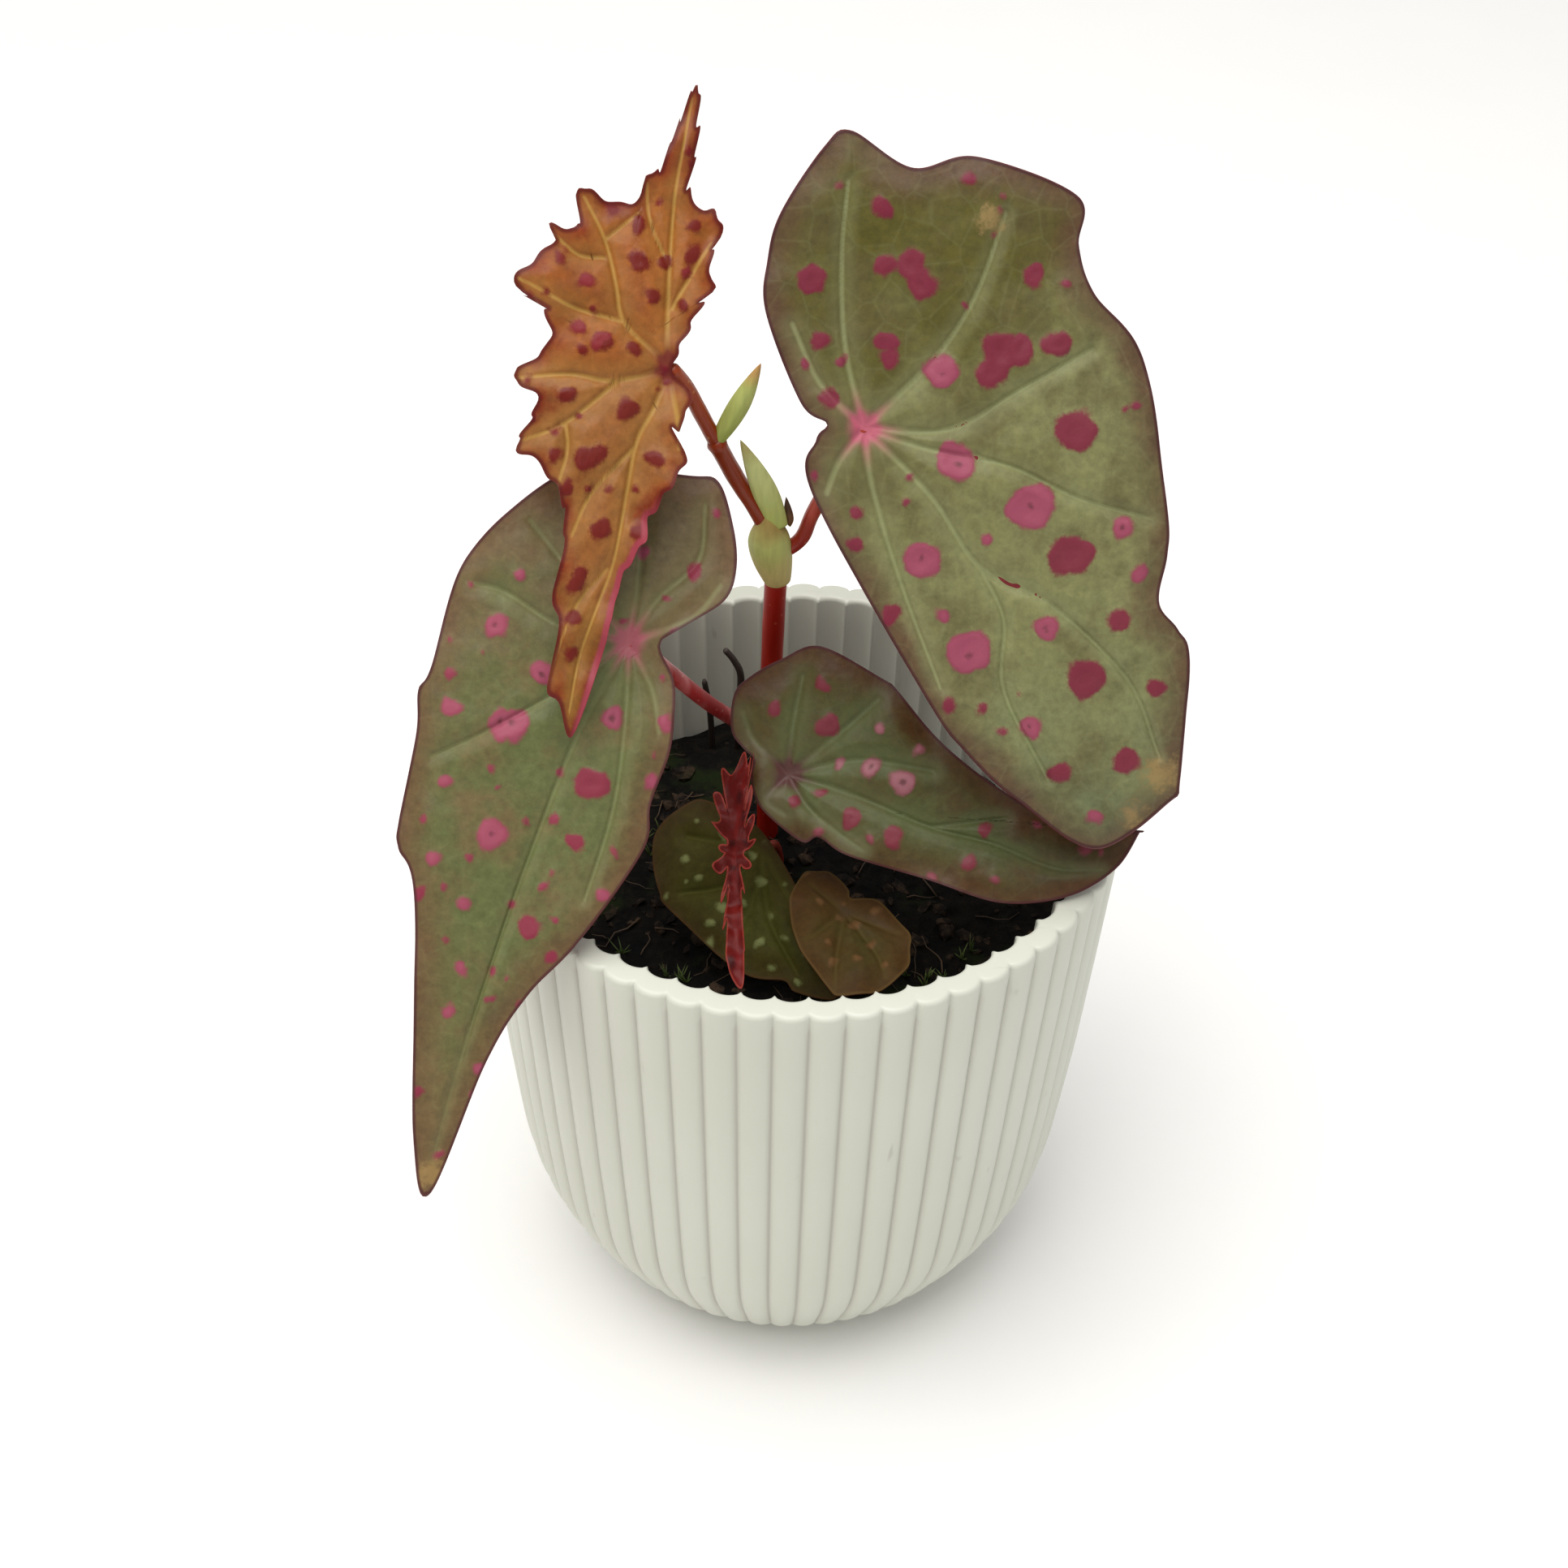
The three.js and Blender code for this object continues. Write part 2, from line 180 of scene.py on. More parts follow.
def open_curve(points: Sequence[Point], count: int) -> list[Vector]:
    """Lay points on a smooth open curve through a few points.

    Args:
        points: The curve's own points, in order.
        count: How many points to lay.

    Returns:
        The points, evenly spaced in the curve's parameter.
    """
    knots = np.array(points, dtype=float)
    ends = np.vstack([2 * knots[0] - knots[1], knots, 2 * knots[-1] - knots[-2]])
    result = []
    for s in np.linspace(0, len(knots) - 1, count):
        i = min(int(s), len(knots) - 2)
        t = s - i
        a, b, c, d = ends[i : i + 4]
        result.append(Vector(
            0.5 * (2 * b + (c - a) * t + (2 * a - 5 * b + 4 * c - d) * t**2
                   + (3 * b - a - 3 * c + d) * t**3)
        ))
    return result


def smooth_line(line: Sequence[Flat]) -> list[Flat]:
    """Round the corners of a flat line."""
    return [(p.x, p.y) for p in open_curve([(u, v, 0) for u, v in line], 6 * len(line) - 5)]


def line_distance(points: np.ndarray, line: Sequence[Flat]) -> np.ndarray:
    """Distance of each point from a line of straight pieces."""
    best = np.full(len(points), 1e9)
    for a, b in zip(np.array(line[:-1], float), np.array(line[1:], float)):
        along = b - a
        share = np.clip(((points - a) @ along) / (along @ along), 0, 1)
        best = np.minimum(best, np.linalg.norm(points - a - share[:, None] * along, axis=1))
    return best


def wobble(points: np.ndarray, scale: float, seed: float) -> np.ndarray:
    """Smooth noise between about -1 and 1 at each flat point, with bumps about scale wide."""
    return np.array([noise.noise(Vector((u / scale, v / scale, seed))) for u, v in points])


def finish_mesh(
    name: str, bm: bmesh.types.BMesh, materials: Sequence[bpy.types.Material], smooth: bool = True
) -> bpy.types.Object:
    """Turn a bmesh in millimetres into a finished object in metres.

    Args:
        name: The piece's name.
        bm: The mesh, which is freed.
        materials: The piece's material slots.
        smooth: Whether its faces shade smoothly.

    Returns:
        The object, riding on the one body.
    """
    bmesh.ops.scale(bm, vec=(MM, MM, MM), verts=bm.verts)
    mesh = bpy.data.meshes.new(name)
    bm.to_mesh(mesh)
    bm.free()
    mesh.polygons.foreach_set("use_smooth", [smooth] * len(mesh.polygons))
    for material in materials:
        mesh.materials.append(material)
    piece = bpy.data.objects.new(name, mesh)
    bpy.context.scene.collection.objects.link(piece)
    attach(piece, BODY)
    LOG.info("%s: %d faces", name, len(mesh.polygons))
    return piece


def spin_profile(profile: Sequence[Flat], steps: int) -> bmesh.types.BMesh:
    """Turn a profile of (radius, height) points once round the upright axis.

    Args:
        profile: The points, from the axis and back to it, or closed on itself.
        steps: How many steps the full turn takes.

    Returns:
        A closed mesh with its faces outwards.
    """
    bm = bmesh.new()
    verts = [bm.verts.new((r, 0, z)) for r, z in profile]
    edges = [bm.edges.new(pair) for pair in zip(verts, verts[1:])]
    bmesh.ops.spin(
        bm, geom=verts + edges, cent=(0, 0, 0), axis=(0, 0, 1), dvec=(0, 0, 0),
        angle=2 * math.pi, steps=steps, use_merge=True, use_duplicate=False,
    )
    bmesh.ops.remove_doubles(bm, verts=bm.verts, dist=1e-5)
    bmesh.ops.recalc_face_normals(bm, faces=bm.faces)
    return bm


def sweep(route: Sequence[Vector], width: Callable[[float], float], sides: int) -> bmesh.types.BMesh:
    """Carry a round section along a route.

    Args:
        route: Points along the middle, in millimetres.
        width: The section's radius at a share of the way along.
        sides: How many sides the section has.

    Returns:
        A closed tube with flat capped ends.
    """
    bm = bmesh.new()
    turn = None
    last = len(route) - 1
    ring = bmesh.ops.create_circle(bm, cap_ends=True, radius=1, segments=sides)["verts"]
    offsets = [v.co.copy() for v in ring]
    for i, point in enumerate(route):
        ahead = (route[min(i + 1, last)] - route[max(i - 1, 0)]).normalized()
        if turn is None:
            turn = Vector((0, 0, 1)).rotation_difference(ahead)
        else:
            turn = (turn @ Vector((0, 0, 1))).rotation_difference(ahead) @ turn
        if i:
            loop = {e for v in ring for e in v.link_edges if all(w in ring for w in e.verts)}
            made = bmesh.ops.extrude_edge_only(bm, edges=list(loop))
            pairs = {}
            fresh = [g for g in made["geom"] if isinstance(g, bmesh.types.BMVert)]
            for vert in fresh:
                mate = next(e.other_vert(vert) for e in vert.link_edges if e.other_vert(vert) in ring)
                pairs[mate] = vert
            ring = [pairs[v] for v in ring]
        radius = width(i / last)
        for vert, offset in zip(ring, offsets):
            vert.co = point + turn @ (offset * radius)
    bmesh.ops.contextual_create(bm, geom=ring)
    bmesh.ops.recalc_face_normals(bm, faces=bm.faces)
    return bm


def join(whole: bmesh.types.BMesh, part: bmesh.types.BMesh) -> None:
    """Add one mesh to another, and free it."""
    carrier = bpy.data.meshes.new("carrier")
    part.to_mesh(carrier)
    part.free()
    whole.from_mesh(carrier)
    bpy.data.meshes.remove(carrier)


@dataclass(frozen=True)
class LeafFinish:
    """Waxy leaf skin: satin, finely pebbled, with sunk veins and raised coloured spots."""

    name: str
    lobe: str
    middle: str
    tip: str
    bronze: str
    rim: str
    vein: str
    spot: str
    pale_spot: str
    star: str
    under: str
    shade: str = "#4a3a1c"
    dry: str = "#a08a50"
    vein_width: float = 0.42
    vein_strength: float = 0.5
    vein_glow: float = 0.14
    bronze_width: float = 4.5
    rim_width: float = 0.2
    roughness: float = 0.48
    gloss: float = 0.35

    def blend(self, r: Recipe, share: Any, base: Any, over: Any) -> bpy.types.NodeSocket:
        """Lay one colour over another by a share."""
        return r.add("Mix", {"data_type": "RGBA"}, {0: share, MIX_A: base, MIX_B: over}
                     ).outputs[MIX_OUT]

    def ramp(self, r: Recipe, value: Any, low: float, high: float, start: float,
             end: float) -> bpy.types.NodeSocket:
        """Turn a value between low and high smoothly into one between start and end."""
        return r.add("MapRange", {"interpolation_type": "SMOOTHSTEP"},
                     {"Value": value, "From Min": low, "From Max": high, "To Min": start,
                      "To Max": end}).outputs[0]

    def ground(self, r: Recipe, read: dict[str, Any], broad: Any, patch: Any) -> Any:
        """Colour the skin between the veins.

        Args:
            r: The material.
            read: The blade's own distances.
            broad: Slow noise.
            patch: Blotchy noise.

        Returns:
            The colour.
        """
        shift = r.add("Math", {"operation": "MULTIPLY_ADD"}, {0: broad, 1: 0.8, 2: -0.4}
                      ).outputs[0]
        along = r.add("Math", {"operation": "ADD"}, {0: read["along"], 1: shift}).outputs[0]
        skin = self.blend(r, self.ramp(r, along, -0.15, 0.2, 0, 1), linear(self.lobe),
                          linear(self.middle))
        skin = self.blend(r, self.ramp(r, along, 0.4, 0.95, 0, 1), skin, linear(self.tip))
        skin = self.blend(r, self.ramp(r, patch, 0.42, 0.7, 0, 0.65), skin, linear(self.shade))
        reach = r.add("Math", {"operation": "MULTIPLY_ADD"}, {0: patch, 1: 10.0, 2: read["edge"]}
                      ).outputs[0]
        bronze = self.ramp(r, reach, 4.5, 5.5 + self.bronze_width, 0.9, 0)
        return self.blend(r, bronze, skin, linear(self.bronze))

    def spots(self, r: Recipe, read: dict[str, Any], skin: Any, fine: Any) -> Any:
        """Lay the spots: a ragged disc, pale towards its ring, with a dark pit in the middle.

        Args:
            r: The material.
            read: The blade's own distances.
            skin: The colour beneath.
            fine: Fine noise.

        Returns:
            The colour.
        """
        ragged = r.add("Math", {"operation": "MULTIPLY_ADD"}, {0: fine, 1: 1.2, 2: -0.6}
                       ).outputs[0]
        rough = r.add("Math", {"operation": "ADD"}, {0: read["spot"], 1: ragged}).outputs[0]
        disc = self.blend(r, read["tone"], linear(self.spot), linear(self.pale_spot))
        edge = self.ramp(r, rough, -0.7, 0.1, 0, 0.45)
        disc = self.blend(r, edge, disc, linear(self.spot))
        ring = r.add("Math", {"operation": "SUBTRACT"}, {0: read["core"], 1: 0.85}).outputs[0]
        ring = r.add("Math", {"operation": "ABSOLUTE"}, {0: ring}).outputs[0]
        halo = r.add("Math", {"operation": "MULTIPLY"},
                     {0: self.ramp(r, ring, 0.05, 0.4, 0.25, 0), 1: read["tone"]}).outputs[0]
        disc = self.blend(r, halo, disc, linear(self.pale_spot))
        pit = r.add("Math", {"operation": "ADD"}, {0: read["core"], 1: ragged}).outputs[0]
        sunk = r.add("Math", {"operation": "MULTIPLY"},
                     {0: self.ramp(r, pit, 0.0, 0.55, 0.7, 0), 1: read["tone"]}).outputs[0]
        disc = self.blend(r, sunk, disc, linear(self.rim))
        return self.blend(r, self.ramp(r, rough, -0.35, 0.3, 0.93, 0), skin, disc)

    def make(self) -> bpy.types.Material:
        """Build the skin from the blade's own distances, in millimetres.

        Returns:
            The material.
        """
        r = Recipe(self.name, IOR=1.42, Specular_IOR_Level=self.gloss)
        read = {
            key: r.add("Attribute", {"attribute_name": key}, {}).outputs["Fac"]
            for key in ("spot", "core", "tone", "vein", "edge", "along", "upper", "star", "dry",
                        "curl")
        }
        place = r.add("TexCoord", {}, {}).outputs["Object"]
        broad = r.add("TexNoise", {}, {"Vector": place, "Scale": 55.0, "Detail": 4.0,
                                       "Roughness": 0.6}).outputs["Fac"]
        patch = r.add("TexNoise", {}, {"Vector": place, "Scale": 130.0, "Detail": 6.0,
                                       "Roughness": 0.62}).outputs["Fac"]
        fine = r.add("TexNoise", {}, {"Vector": place, "Scale": 850.0, "Detail": 6.0,
                                      "Roughness": 0.7}).outputs["Fac"]
        cells = r.add("TexVoronoi", {"feature": "SMOOTH_F1"},
                      {"Vector": place, "Scale": 1100.0}).outputs["Distance"]
        nets = r.add("TexVoronoi", {"feature": "DISTANCE_TO_EDGE"},
                     {"Vector": place, "Scale": 230.0}).outputs["Distance"]
        skin = self.ground(r, read, broad, patch)
        mottle = r.add("MapRange", {}, {"Value": fine, "From Min": 0.3, "From Max": 0.7,
                                        "To Min": 0.78, "To Max": 1.2}).outputs[0]
        skin = r.add("Mix", {"data_type": "RGBA", "blend_type": "MULTIPLY"},
                     {0: 1.0, MIX_A: skin, MIX_B: mottle}).outputs[MIX_OUT]
        skin = self.blend(r, self.ramp(r, nets, 0.0, 0.06, 0.05, 0), skin, linear(self.vein))
        skin = self.blend(r, self.ramp(r, read["vein"], 0.6, 4.0, self.vein_glow, 0), skin,
                          linear(self.vein))
        line = self.ramp(r, read["vein"], self.vein_width * 0.2, self.vein_width * 1.8,
                         self.vein_strength, 0)
        skin = self.blend(r, line, skin, linear(self.vein))
        skin = self.spots(r, read, skin, fine)
        skin = self.blend(r, read["star"], skin, linear(self.star))
        tan = r.add("Math", {"operation": "MULTIPLY_ADD"}, {0: fine, 1: 7.0, 2: read["dry"]})
        skin = self.blend(r, self.ramp(r, tan.outputs[0], 1.8, 4.2, 0.8, 0), skin,
                          linear(self.dry))
        rim = self.ramp(r, read["edge"], self.rim_width * 0.6, self.rim_width * 2.2, 0.85, 0)
        skin = self.blend(r, rim, skin, linear(self.rim))
        skin = self.blend(r, read["curl"], skin, linear(self.under))
        below = r.add("Mix", {"data_type": "RGBA", "blend_type": "MULTIPLY"},
                      {0: 1.0, MIX_A: linear(self.under), MIX_B: mottle}).outputs[MIX_OUT]
        r.feed("Base Color", self.blend(r, read["upper"], below, skin))
        gloss = r.add("MapRange", {}, {"Value": patch, "From Min": 0.3, "From Max": 0.7,
                                       "To Min": self.roughness - 0.1,
                                       "To Max": self.roughness + 0.16})
        r.feed("Roughness", gloss.outputs[0])
        pebble = r.add("Math", {"operation": "MULTIPLY_ADD"}, {0: cells, 1: -0.8, 2: fine})
        bump = r.add("Bump", {}, {"Height": pebble.outputs[0], "Strength": 0.4,
                                  "Distance": 0.14 * MM})
        r.feed("Normal", bump.outputs[0])
        return r.material


@dataclass(frozen=True)
class FleshFinish:
    """Fleshy stalk skin: smooth and juicy, streaked lengthwise, with tiny pale dots."""

    name: str
    main: str
    streak: str
    dot: str
    roughness: float = 0.32

    def make(self) -> bpy.types.Material:
        """Build the stalk's skin.

        Returns:
            The material.
        """
        r = Recipe(self.name, IOR=1.42, Subsurface_Weight=0.0)
        place = r.add("TexCoord", {}, {}).outputs["Object"]
        stretched = r.add("Mapping", {}, {"Vector": place, "Scale": (1.0, 1.0, 0.18)}).outputs[0]
        streaks = r.add("TexNoise", {}, {"Vector": stretched, "Scale": 520.0, "Detail": 4.0})
        broad = r.add("TexNoise", {}, {"Vector": place, "Scale": 70.0, "Detail": 3.0})
        dots = r.add("TexVoronoi", {}, {"Vector": place, "Scale": 620.0, "Randomness": 1.0})
        amount = r.add("Math", {"operation": "MULTIPLY"},
                       {0: streaks.outputs["Fac"], 1: broad.outputs["Fac"]})
        share = r.add("MapRange", {"interpolation_type": "SMOOTHSTEP"},
                      {"Value": amount.outputs[0], "From Min": 0.18, "From Max": 0.42})
        skin = r.add("Mix", {"data_type": "RGBA"},
                     {0: share.outputs[0], MIX_A: linear(self.main), MIX_B: linear(self.streak)})
        speck = r.add("MapRange", {"interpolation_type": "SMOOTHSTEP"},
                      {"Value": dots.outputs["Distance"], "From Min": 0.06, "From Max": 0.16,
                       "To Min": 0.55, "To Max": 0.0})
        skin = r.add("Mix", {"data_type": "RGBA"},
                     {0: speck.outputs[0], MIX_A: skin.outputs[MIX_OUT], MIX_B: linear(self.dot)})
        r.feed("Base Color", skin.outputs[MIX_OUT])
        gloss = r.add("MapRange", {}, {"Value": streaks.outputs["Fac"],
                                       "To Min": self.roughness - 0.06,
                                       "To Max": self.roughness + 0.16})
        r.feed("Roughness", gloss.outputs[0])
        bump = r.add("Bump", {}, {"Height": streaks.outputs["Fac"], "Strength": 0.3,
                                  "Distance": 0.15 * MM})
        r.feed("Normal", bump.outputs[0])
        return r.material


@dataclass(frozen=True)
class PotPlastic:
    """Injection-moulded polypropylene: off-white, satin, lightly scuffed, with painted shade darkening its
    grooves.
    """

    name: str = "moulded_polypropylene"
    main: str = "#cdcfc3"
    shade: str = "#c2c3b5"
    # The grey-brown laid into the grooves as painted shade.
    groove_shade_colour: str = "#a29c8f"
    scuff: str = "#8f8a80"

    def make(self) -> bpy.types.Material:
        """Build the plastic.

        Returns:
            The material.
        """
        r = Recipe(self.name, IOR=1.49)
        place = r.add("TexCoord", {}, {}).outputs["Object"]
        groove_shade = r.add("Attribute", {"attribute_name": "groove_shade"}, {}).outputs["Fac"]
        broad = r.add("TexNoise", {}, {"Vector": place, "Scale": 28.0, "Detail": 4.0})
        grain = r.add("TexNoise", {}, {"Vector": place, "Scale": 1600.0, "Detail": 3.0})
        marks = r.add("Mapping", {}, {"Vector": place, "Rotation": (0.2, 0.5, 0.9),
                                      "Scale": (90.0, 900.0, 120.0)}).outputs[0]
        scratches = r.add("TexNoise", {}, {"Vector": marks, "Scale": 1.0, "Detail": 2.0})
        body = r.add("Mix", {"data_type": "RGBA"},
                     {0: broad.outputs["Fac"], MIX_A: linear(self.main),
                      MIX_B: linear(self.shade)})
        # Painted shade: the groove share darkens the grooves towards the grey-brown, by up to 0.4.
        groove_shade_share = r.add("MapRange", {"interpolation_type": "SMOOTHSTEP"},
                      {"Value": groove_shade, "From Min": 0.35, "From Max": 1.0, "To Max": 0.4})
        body = r.add("Mix", {"data_type": "RGBA"},
                     {0: groove_shade_share.outputs[0], MIX_A: body.outputs[MIX_OUT], MIX_B: linear(self.groove_shade_colour)})
        worn = r.add("MapRange", {"interpolation_type": "SMOOTHSTEP"},
                     {"Value": scratches.outputs["Fac"], "From Min": 0.69, "From Max": 0.78,
                      "To Max": 0.35})
        body = r.add("Mix", {"data_type": "RGBA"},
                     {0: worn.outputs[0], MIX_A: body.outputs[MIX_OUT], MIX_B: linear(self.scuff)})
        r.feed("Base Color", body.outputs[MIX_OUT])
        gloss = r.add("MapRange", {}, {"Value": broad.outputs["Fac"], "To Min": 0.36,
                                       "To Max": 0.52})
        r.feed("Roughness", gloss.outputs[0])
        bump = r.add("Bump", {}, {"Height": grain.outputs["Fac"], "Strength": 0.2,
                                  "Distance": 0.05 * MM})
        r.feed("Normal", bump.outputs[0])
        return r.material


@dataclass(frozen=True)
class EarthFinish:
    """Damp peat and bark: almost black, rough, with brown fibres and green algae patches."""

    name: str
    dark: str = "#050403"
    brown: str = "#17120b"
    moss: str = "#1a240a"
    moss_share: float = 0.85

    def make(self) -> bpy.types.Material:
        """Build the earth.

        Returns:
            The material.
        """
        r = Recipe(self.name, IOR=1.4, Specular_IOR_Level=0.18)
        place = r.add("TexCoord", {}, {}).outputs["Object"]
        crumb = r.add("TexNoise", {}, {"Vector": place, "Scale": 420.0, "Detail": 8.0,
                                       "Roughness": 0.7})
        patch = r.add("TexNoise", {}, {"Vector": place, "Scale": 75.0, "Detail": 5.0,
                                       "Roughness": 0.65})
        cells = r.add("TexVoronoi", {}, {"Vector": place, "Scale": 520.0})
        share = r.add("MapRange", {"interpolation_type": "SMOOTHSTEP"},
                      {"Value": crumb.outputs["Fac"], "From Min": 0.42, "From Max": 0.68})
        earth = r.add("Mix", {"data_type": "RGBA"},
                      {0: share.outputs[0], MIX_A: linear(self.dark), MIX_B: linear(self.brown)})
        green = r.add("MapRange", {"interpolation_type": "SMOOTHSTEP"},
                      {"Value": patch.outputs["Fac"], "From Min": 0.5, "From Max": 0.64,
                       "To Max": self.moss_share})
        earth = r.add("Mix", {"data_type": "RGBA"},
                      {0: green.outputs[0], MIX_A: earth.outputs[MIX_OUT],
                       MIX_B: linear(self.moss)})
        r.feed("Base Color", earth.outputs[MIX_OUT])
        damp = r.add("MapRange", {}, {"Value": patch.outputs["Fac"], "To Min": 0.6, "To Max": 0.95})
        r.feed("Roughness", damp.outputs[0])
        height = r.add("Math", {"operation": "ADD"},
                       {0: crumb.outputs["Fac"], 1: cells.outputs["Distance"]})
        bump = r.add("Bump", {}, {"Height": height.outputs[0], "Strength": 0.9,
                                  "Distance": 0.7 * MM})
        r.feed("Normal", bump.outputs[0])
        return r.material


@dataclass(frozen=True)
class PaperyFinish:
    """Dry stipule or straw: thin, matt, ribbed lengthwise, browning towards its tip."""

    name: str
    base: str
    middle: str
    tip: str
    low: float
    high: float

    def make(self) -> bpy.types.Material:
        """Build the dry skin, whose colour follows its height between low and high.

        Returns:
            The material.
        """
        r = Recipe(self.name, IOR=1.4)
        place = r.add("TexCoord", {}, {}).outputs["Object"]
        height = r.add("SeparateXYZ", {}, {0: place}).outputs["Z"]
        ribs = r.add("Mapping", {}, {"Vector": place, "Scale": (1.0, 1.0, 0.12)}).outputs[0]
        lines = r.add("TexNoise", {}, {"Vector": ribs, "Scale": 1500.0, "Detail": 3.0})
        blotch = r.add("TexNoise", {}, {"Vector": place, "Scale": 420.0, "Detail": 3.0})
        sway = r.add("Math", {"operation": "MULTIPLY_ADD"},
                     {0: blotch.outputs["Fac"], 1: 3.0 * MM, 2: height})
        along = r.add("MapRange", {"interpolation_type": "SMOOTHSTEP"},
                      {"Value": sway.outputs[0], "From Min": self.low * MM,
                       "From Max": self.high * MM})
        early = r.add("MapRange", {}, {"Value": along.outputs[0], "From Max": 0.6})
        late = r.add("MapRange", {}, {"Value": along.outputs[0], "From Min": 0.75})
        skin = r.add("Mix", {"data_type": "RGBA"},
                     {0: early.outputs[0], MIX_A: linear(self.base), MIX_B: linear(self.middle)})
        skin = r.add("Mix", {"data_type": "RGBA"},
                     {0: late.outputs[0], MIX_A: skin.outputs[MIX_OUT], MIX_B: linear(self.tip)})
        tone = r.add("MapRange", {}, {"Value": lines.outputs["Fac"], "From Min": 0.3,
                                      "From Max": 0.7, "To Min": 0.9, "To Max": 1.08})
        skin = r.add("Mix", {"data_type": "RGBA", "blend_type": "MULTIPLY"},
                     {0: 1.0, MIX_A: skin.outputs[MIX_OUT], MIX_B: tone.outputs[0]})
        r.feed("Base Color", skin.outputs[MIX_OUT])
        gloss = r.add("MapRange", {}, {"Value": lines.outputs["Fac"], "To Min": 0.45,
                                       "To Max": 0.7})
        r.feed("Roughness", gloss.outputs[0])
        bump = r.add("Bump", {}, {"Height": lines.outputs["Fac"], "Strength": 0.5,
                                  "Distance": 0.15 * MM})
        r.feed("Normal", bump.outputs[0])
        return r.material


@dataclass(frozen=True)
class Blade:
    """One leaf blade's shape, in millimetres, in its own frame.

    u runs from the petiole point to the tip, v across the blade, w out of its upper side.
    The margin, the spots (u, v, radius), the veins and the dry places (u, v, radius) lie in
    u and v. The spots are crimson, and the pale spots pink.
    """

    node: str
    slot: str
    petiole: Point
    tip: Point
    faces: Point
    hub: Flat
    droop: Point
    folds: Flat
    cup: float
    margin: tuple[Flat, ...]
    spots: tuple[Point, ...]
    veins: tuple[tuple[Flat, ...], ...]
    pale_spots: tuple[Point, ...] = ()
    dry_places: tuple[Point, ...] = ()
    freckles: int = 14
    curled_from: float = 1000.0
    vein_reach: float = 26.0
    tooth: float = 0.0
    tooth_pitch: float = 2.4
    thickness: float = 0.45
    ruffle: float = 0.35
    ruffle_pitch: float = 11.0
    pucker: float = 0.5
    vein_depth: float = 0.38
    star_radius: float = 2.6
    spokes: int = 340
    rings: int = 70

    def axes(self) -> tuple[np.ndarray, np.ndarray, np.ndarray]:
        """Unit vectors along u, v and w."""
        u = np.array(self.tip, float) - np.array(self.petiole, float)
        u /= np.linalg.norm(u)
        w = np.array(self.faces, float)
        w -= (w @ u) * u
        w /= np.linalg.norm(w)
        return u, np.cross(w, u), w

    def outline(self) -> np.ndarray:
        """Lay the margin, one point to a spoke, with its small teeth cut in along the spokes.

        A tooth cut along its own spoke never crosses the next one, so the blade can't fold.

        Returns:
            The ends of the spokes, in u and v.
        """
        ends = closed_curve(self.margin, self.spokes)
        ahead = np.roll(ends, -1, axis=0) - np.roll(ends, 1, axis=0)
        outward = np.column_stack([ahead[:, 1], -ahead[:, 0]])
        outward /= np.linalg.norm(outward, axis=1)[:, None]
        step = np.linalg.norm(ends[1] - ends[0])
        phase = np.arange(self.spokes) * step / self.tooth_pitch
        phase += 0.5 * wobble(ends, 4 * self.tooth_pitch, 2.2)
        share = np.mod(phase, 1.0)
        cut = np.sin(math.pi * np.abs(share - 0.4)) ** 2 * (0.7 + 0.6 * wobble(ends, 3.1, 7.7))
        cut *= 1 - smooth_step(ends[:, 0], 0.3 * self.droop[0], 0.7 * self.droop[0])
        spoke = ends - np.array(self.hub)
        reach = np.linalg.norm(spoke, axis=1)
        slant = np.clip(np.abs(np.sum(spoke * outward, axis=1)) / reach, LEAST_SLANT, 1.0)
        depth = np.minimum(self.tooth * cut / slant / reach, DEEPEST_CUT)
        return ends - depth[:, None] * spoke

    def height(self, flat: np.ndarray) -> np.ndarray:
        """Height of the bent blade over its flat plane at each (u, v)."""
        u, v = flat[:, 0], flat[:, 1]
        length, tip_droop, lobe_droop = self.droop
        share = u / length
        droop = np.where(share > 0, tip_droop, lobe_droop) * share**2
        fold = np.where(v > 0, self.folds[1], self.folds[0])
        softness = 1.5
        crease = np.hypot(v, softness) - softness
        return fold * crease - droop - self.cup * (v / 10) ** 2

    def relief(self, flat: np.ndarray, edge: np.ndarray, vein: np.ndarray,
               spot: np.ndarray) -> np.ndarray:
        """Small relief on the blade: sunk veins, puckered skin, raised spots, a ruffled margin.

        Args:
            flat: Points in u and v.
            edge: Distance of each from the margin.
            vein: Distance of each from the nearest vein.
            spot: Distance of each from the nearest spot's edge, negative inside.
    
        Returns:
            The height to add along w.
        """
        inner = smooth_step(edge, 0.0, 4.0)
        sunk = -self.vein_depth * np.exp(-((vein / 0.55) ** 2)) * inner
        pillow = 0.45 * smooth_step(vein, 0.0, 3.5) * inner
        skin = self.pucker * (
            1.3 * wobble(flat, 13.0, 1.7) + 0.5 * wobble(flat, 5.0, 5.1)
            + 0.16 * wobble(flat, 1.7, 6.6)
        )
        raised = 0.16 * smooth_step(-spot, -0.4, 0.6) - 0.1 * smooth_step(-spot, 0.9, 1.8)
        wave = 2.2 * wobble(flat, self.ruffle_pitch / 2, 9.3)
        ruffled = self.ruffle * wave * (1 - smooth_step(edge, 0.0, 5.0))
        dimple = -0.4 * np.exp(-((np.hypot(flat[:, 0], flat[:, 1]) / 2.4) ** 2))
        return sunk + pillow + skin * smooth_step(edge, -1.0, 3.0) + raised + ruffled + dimple


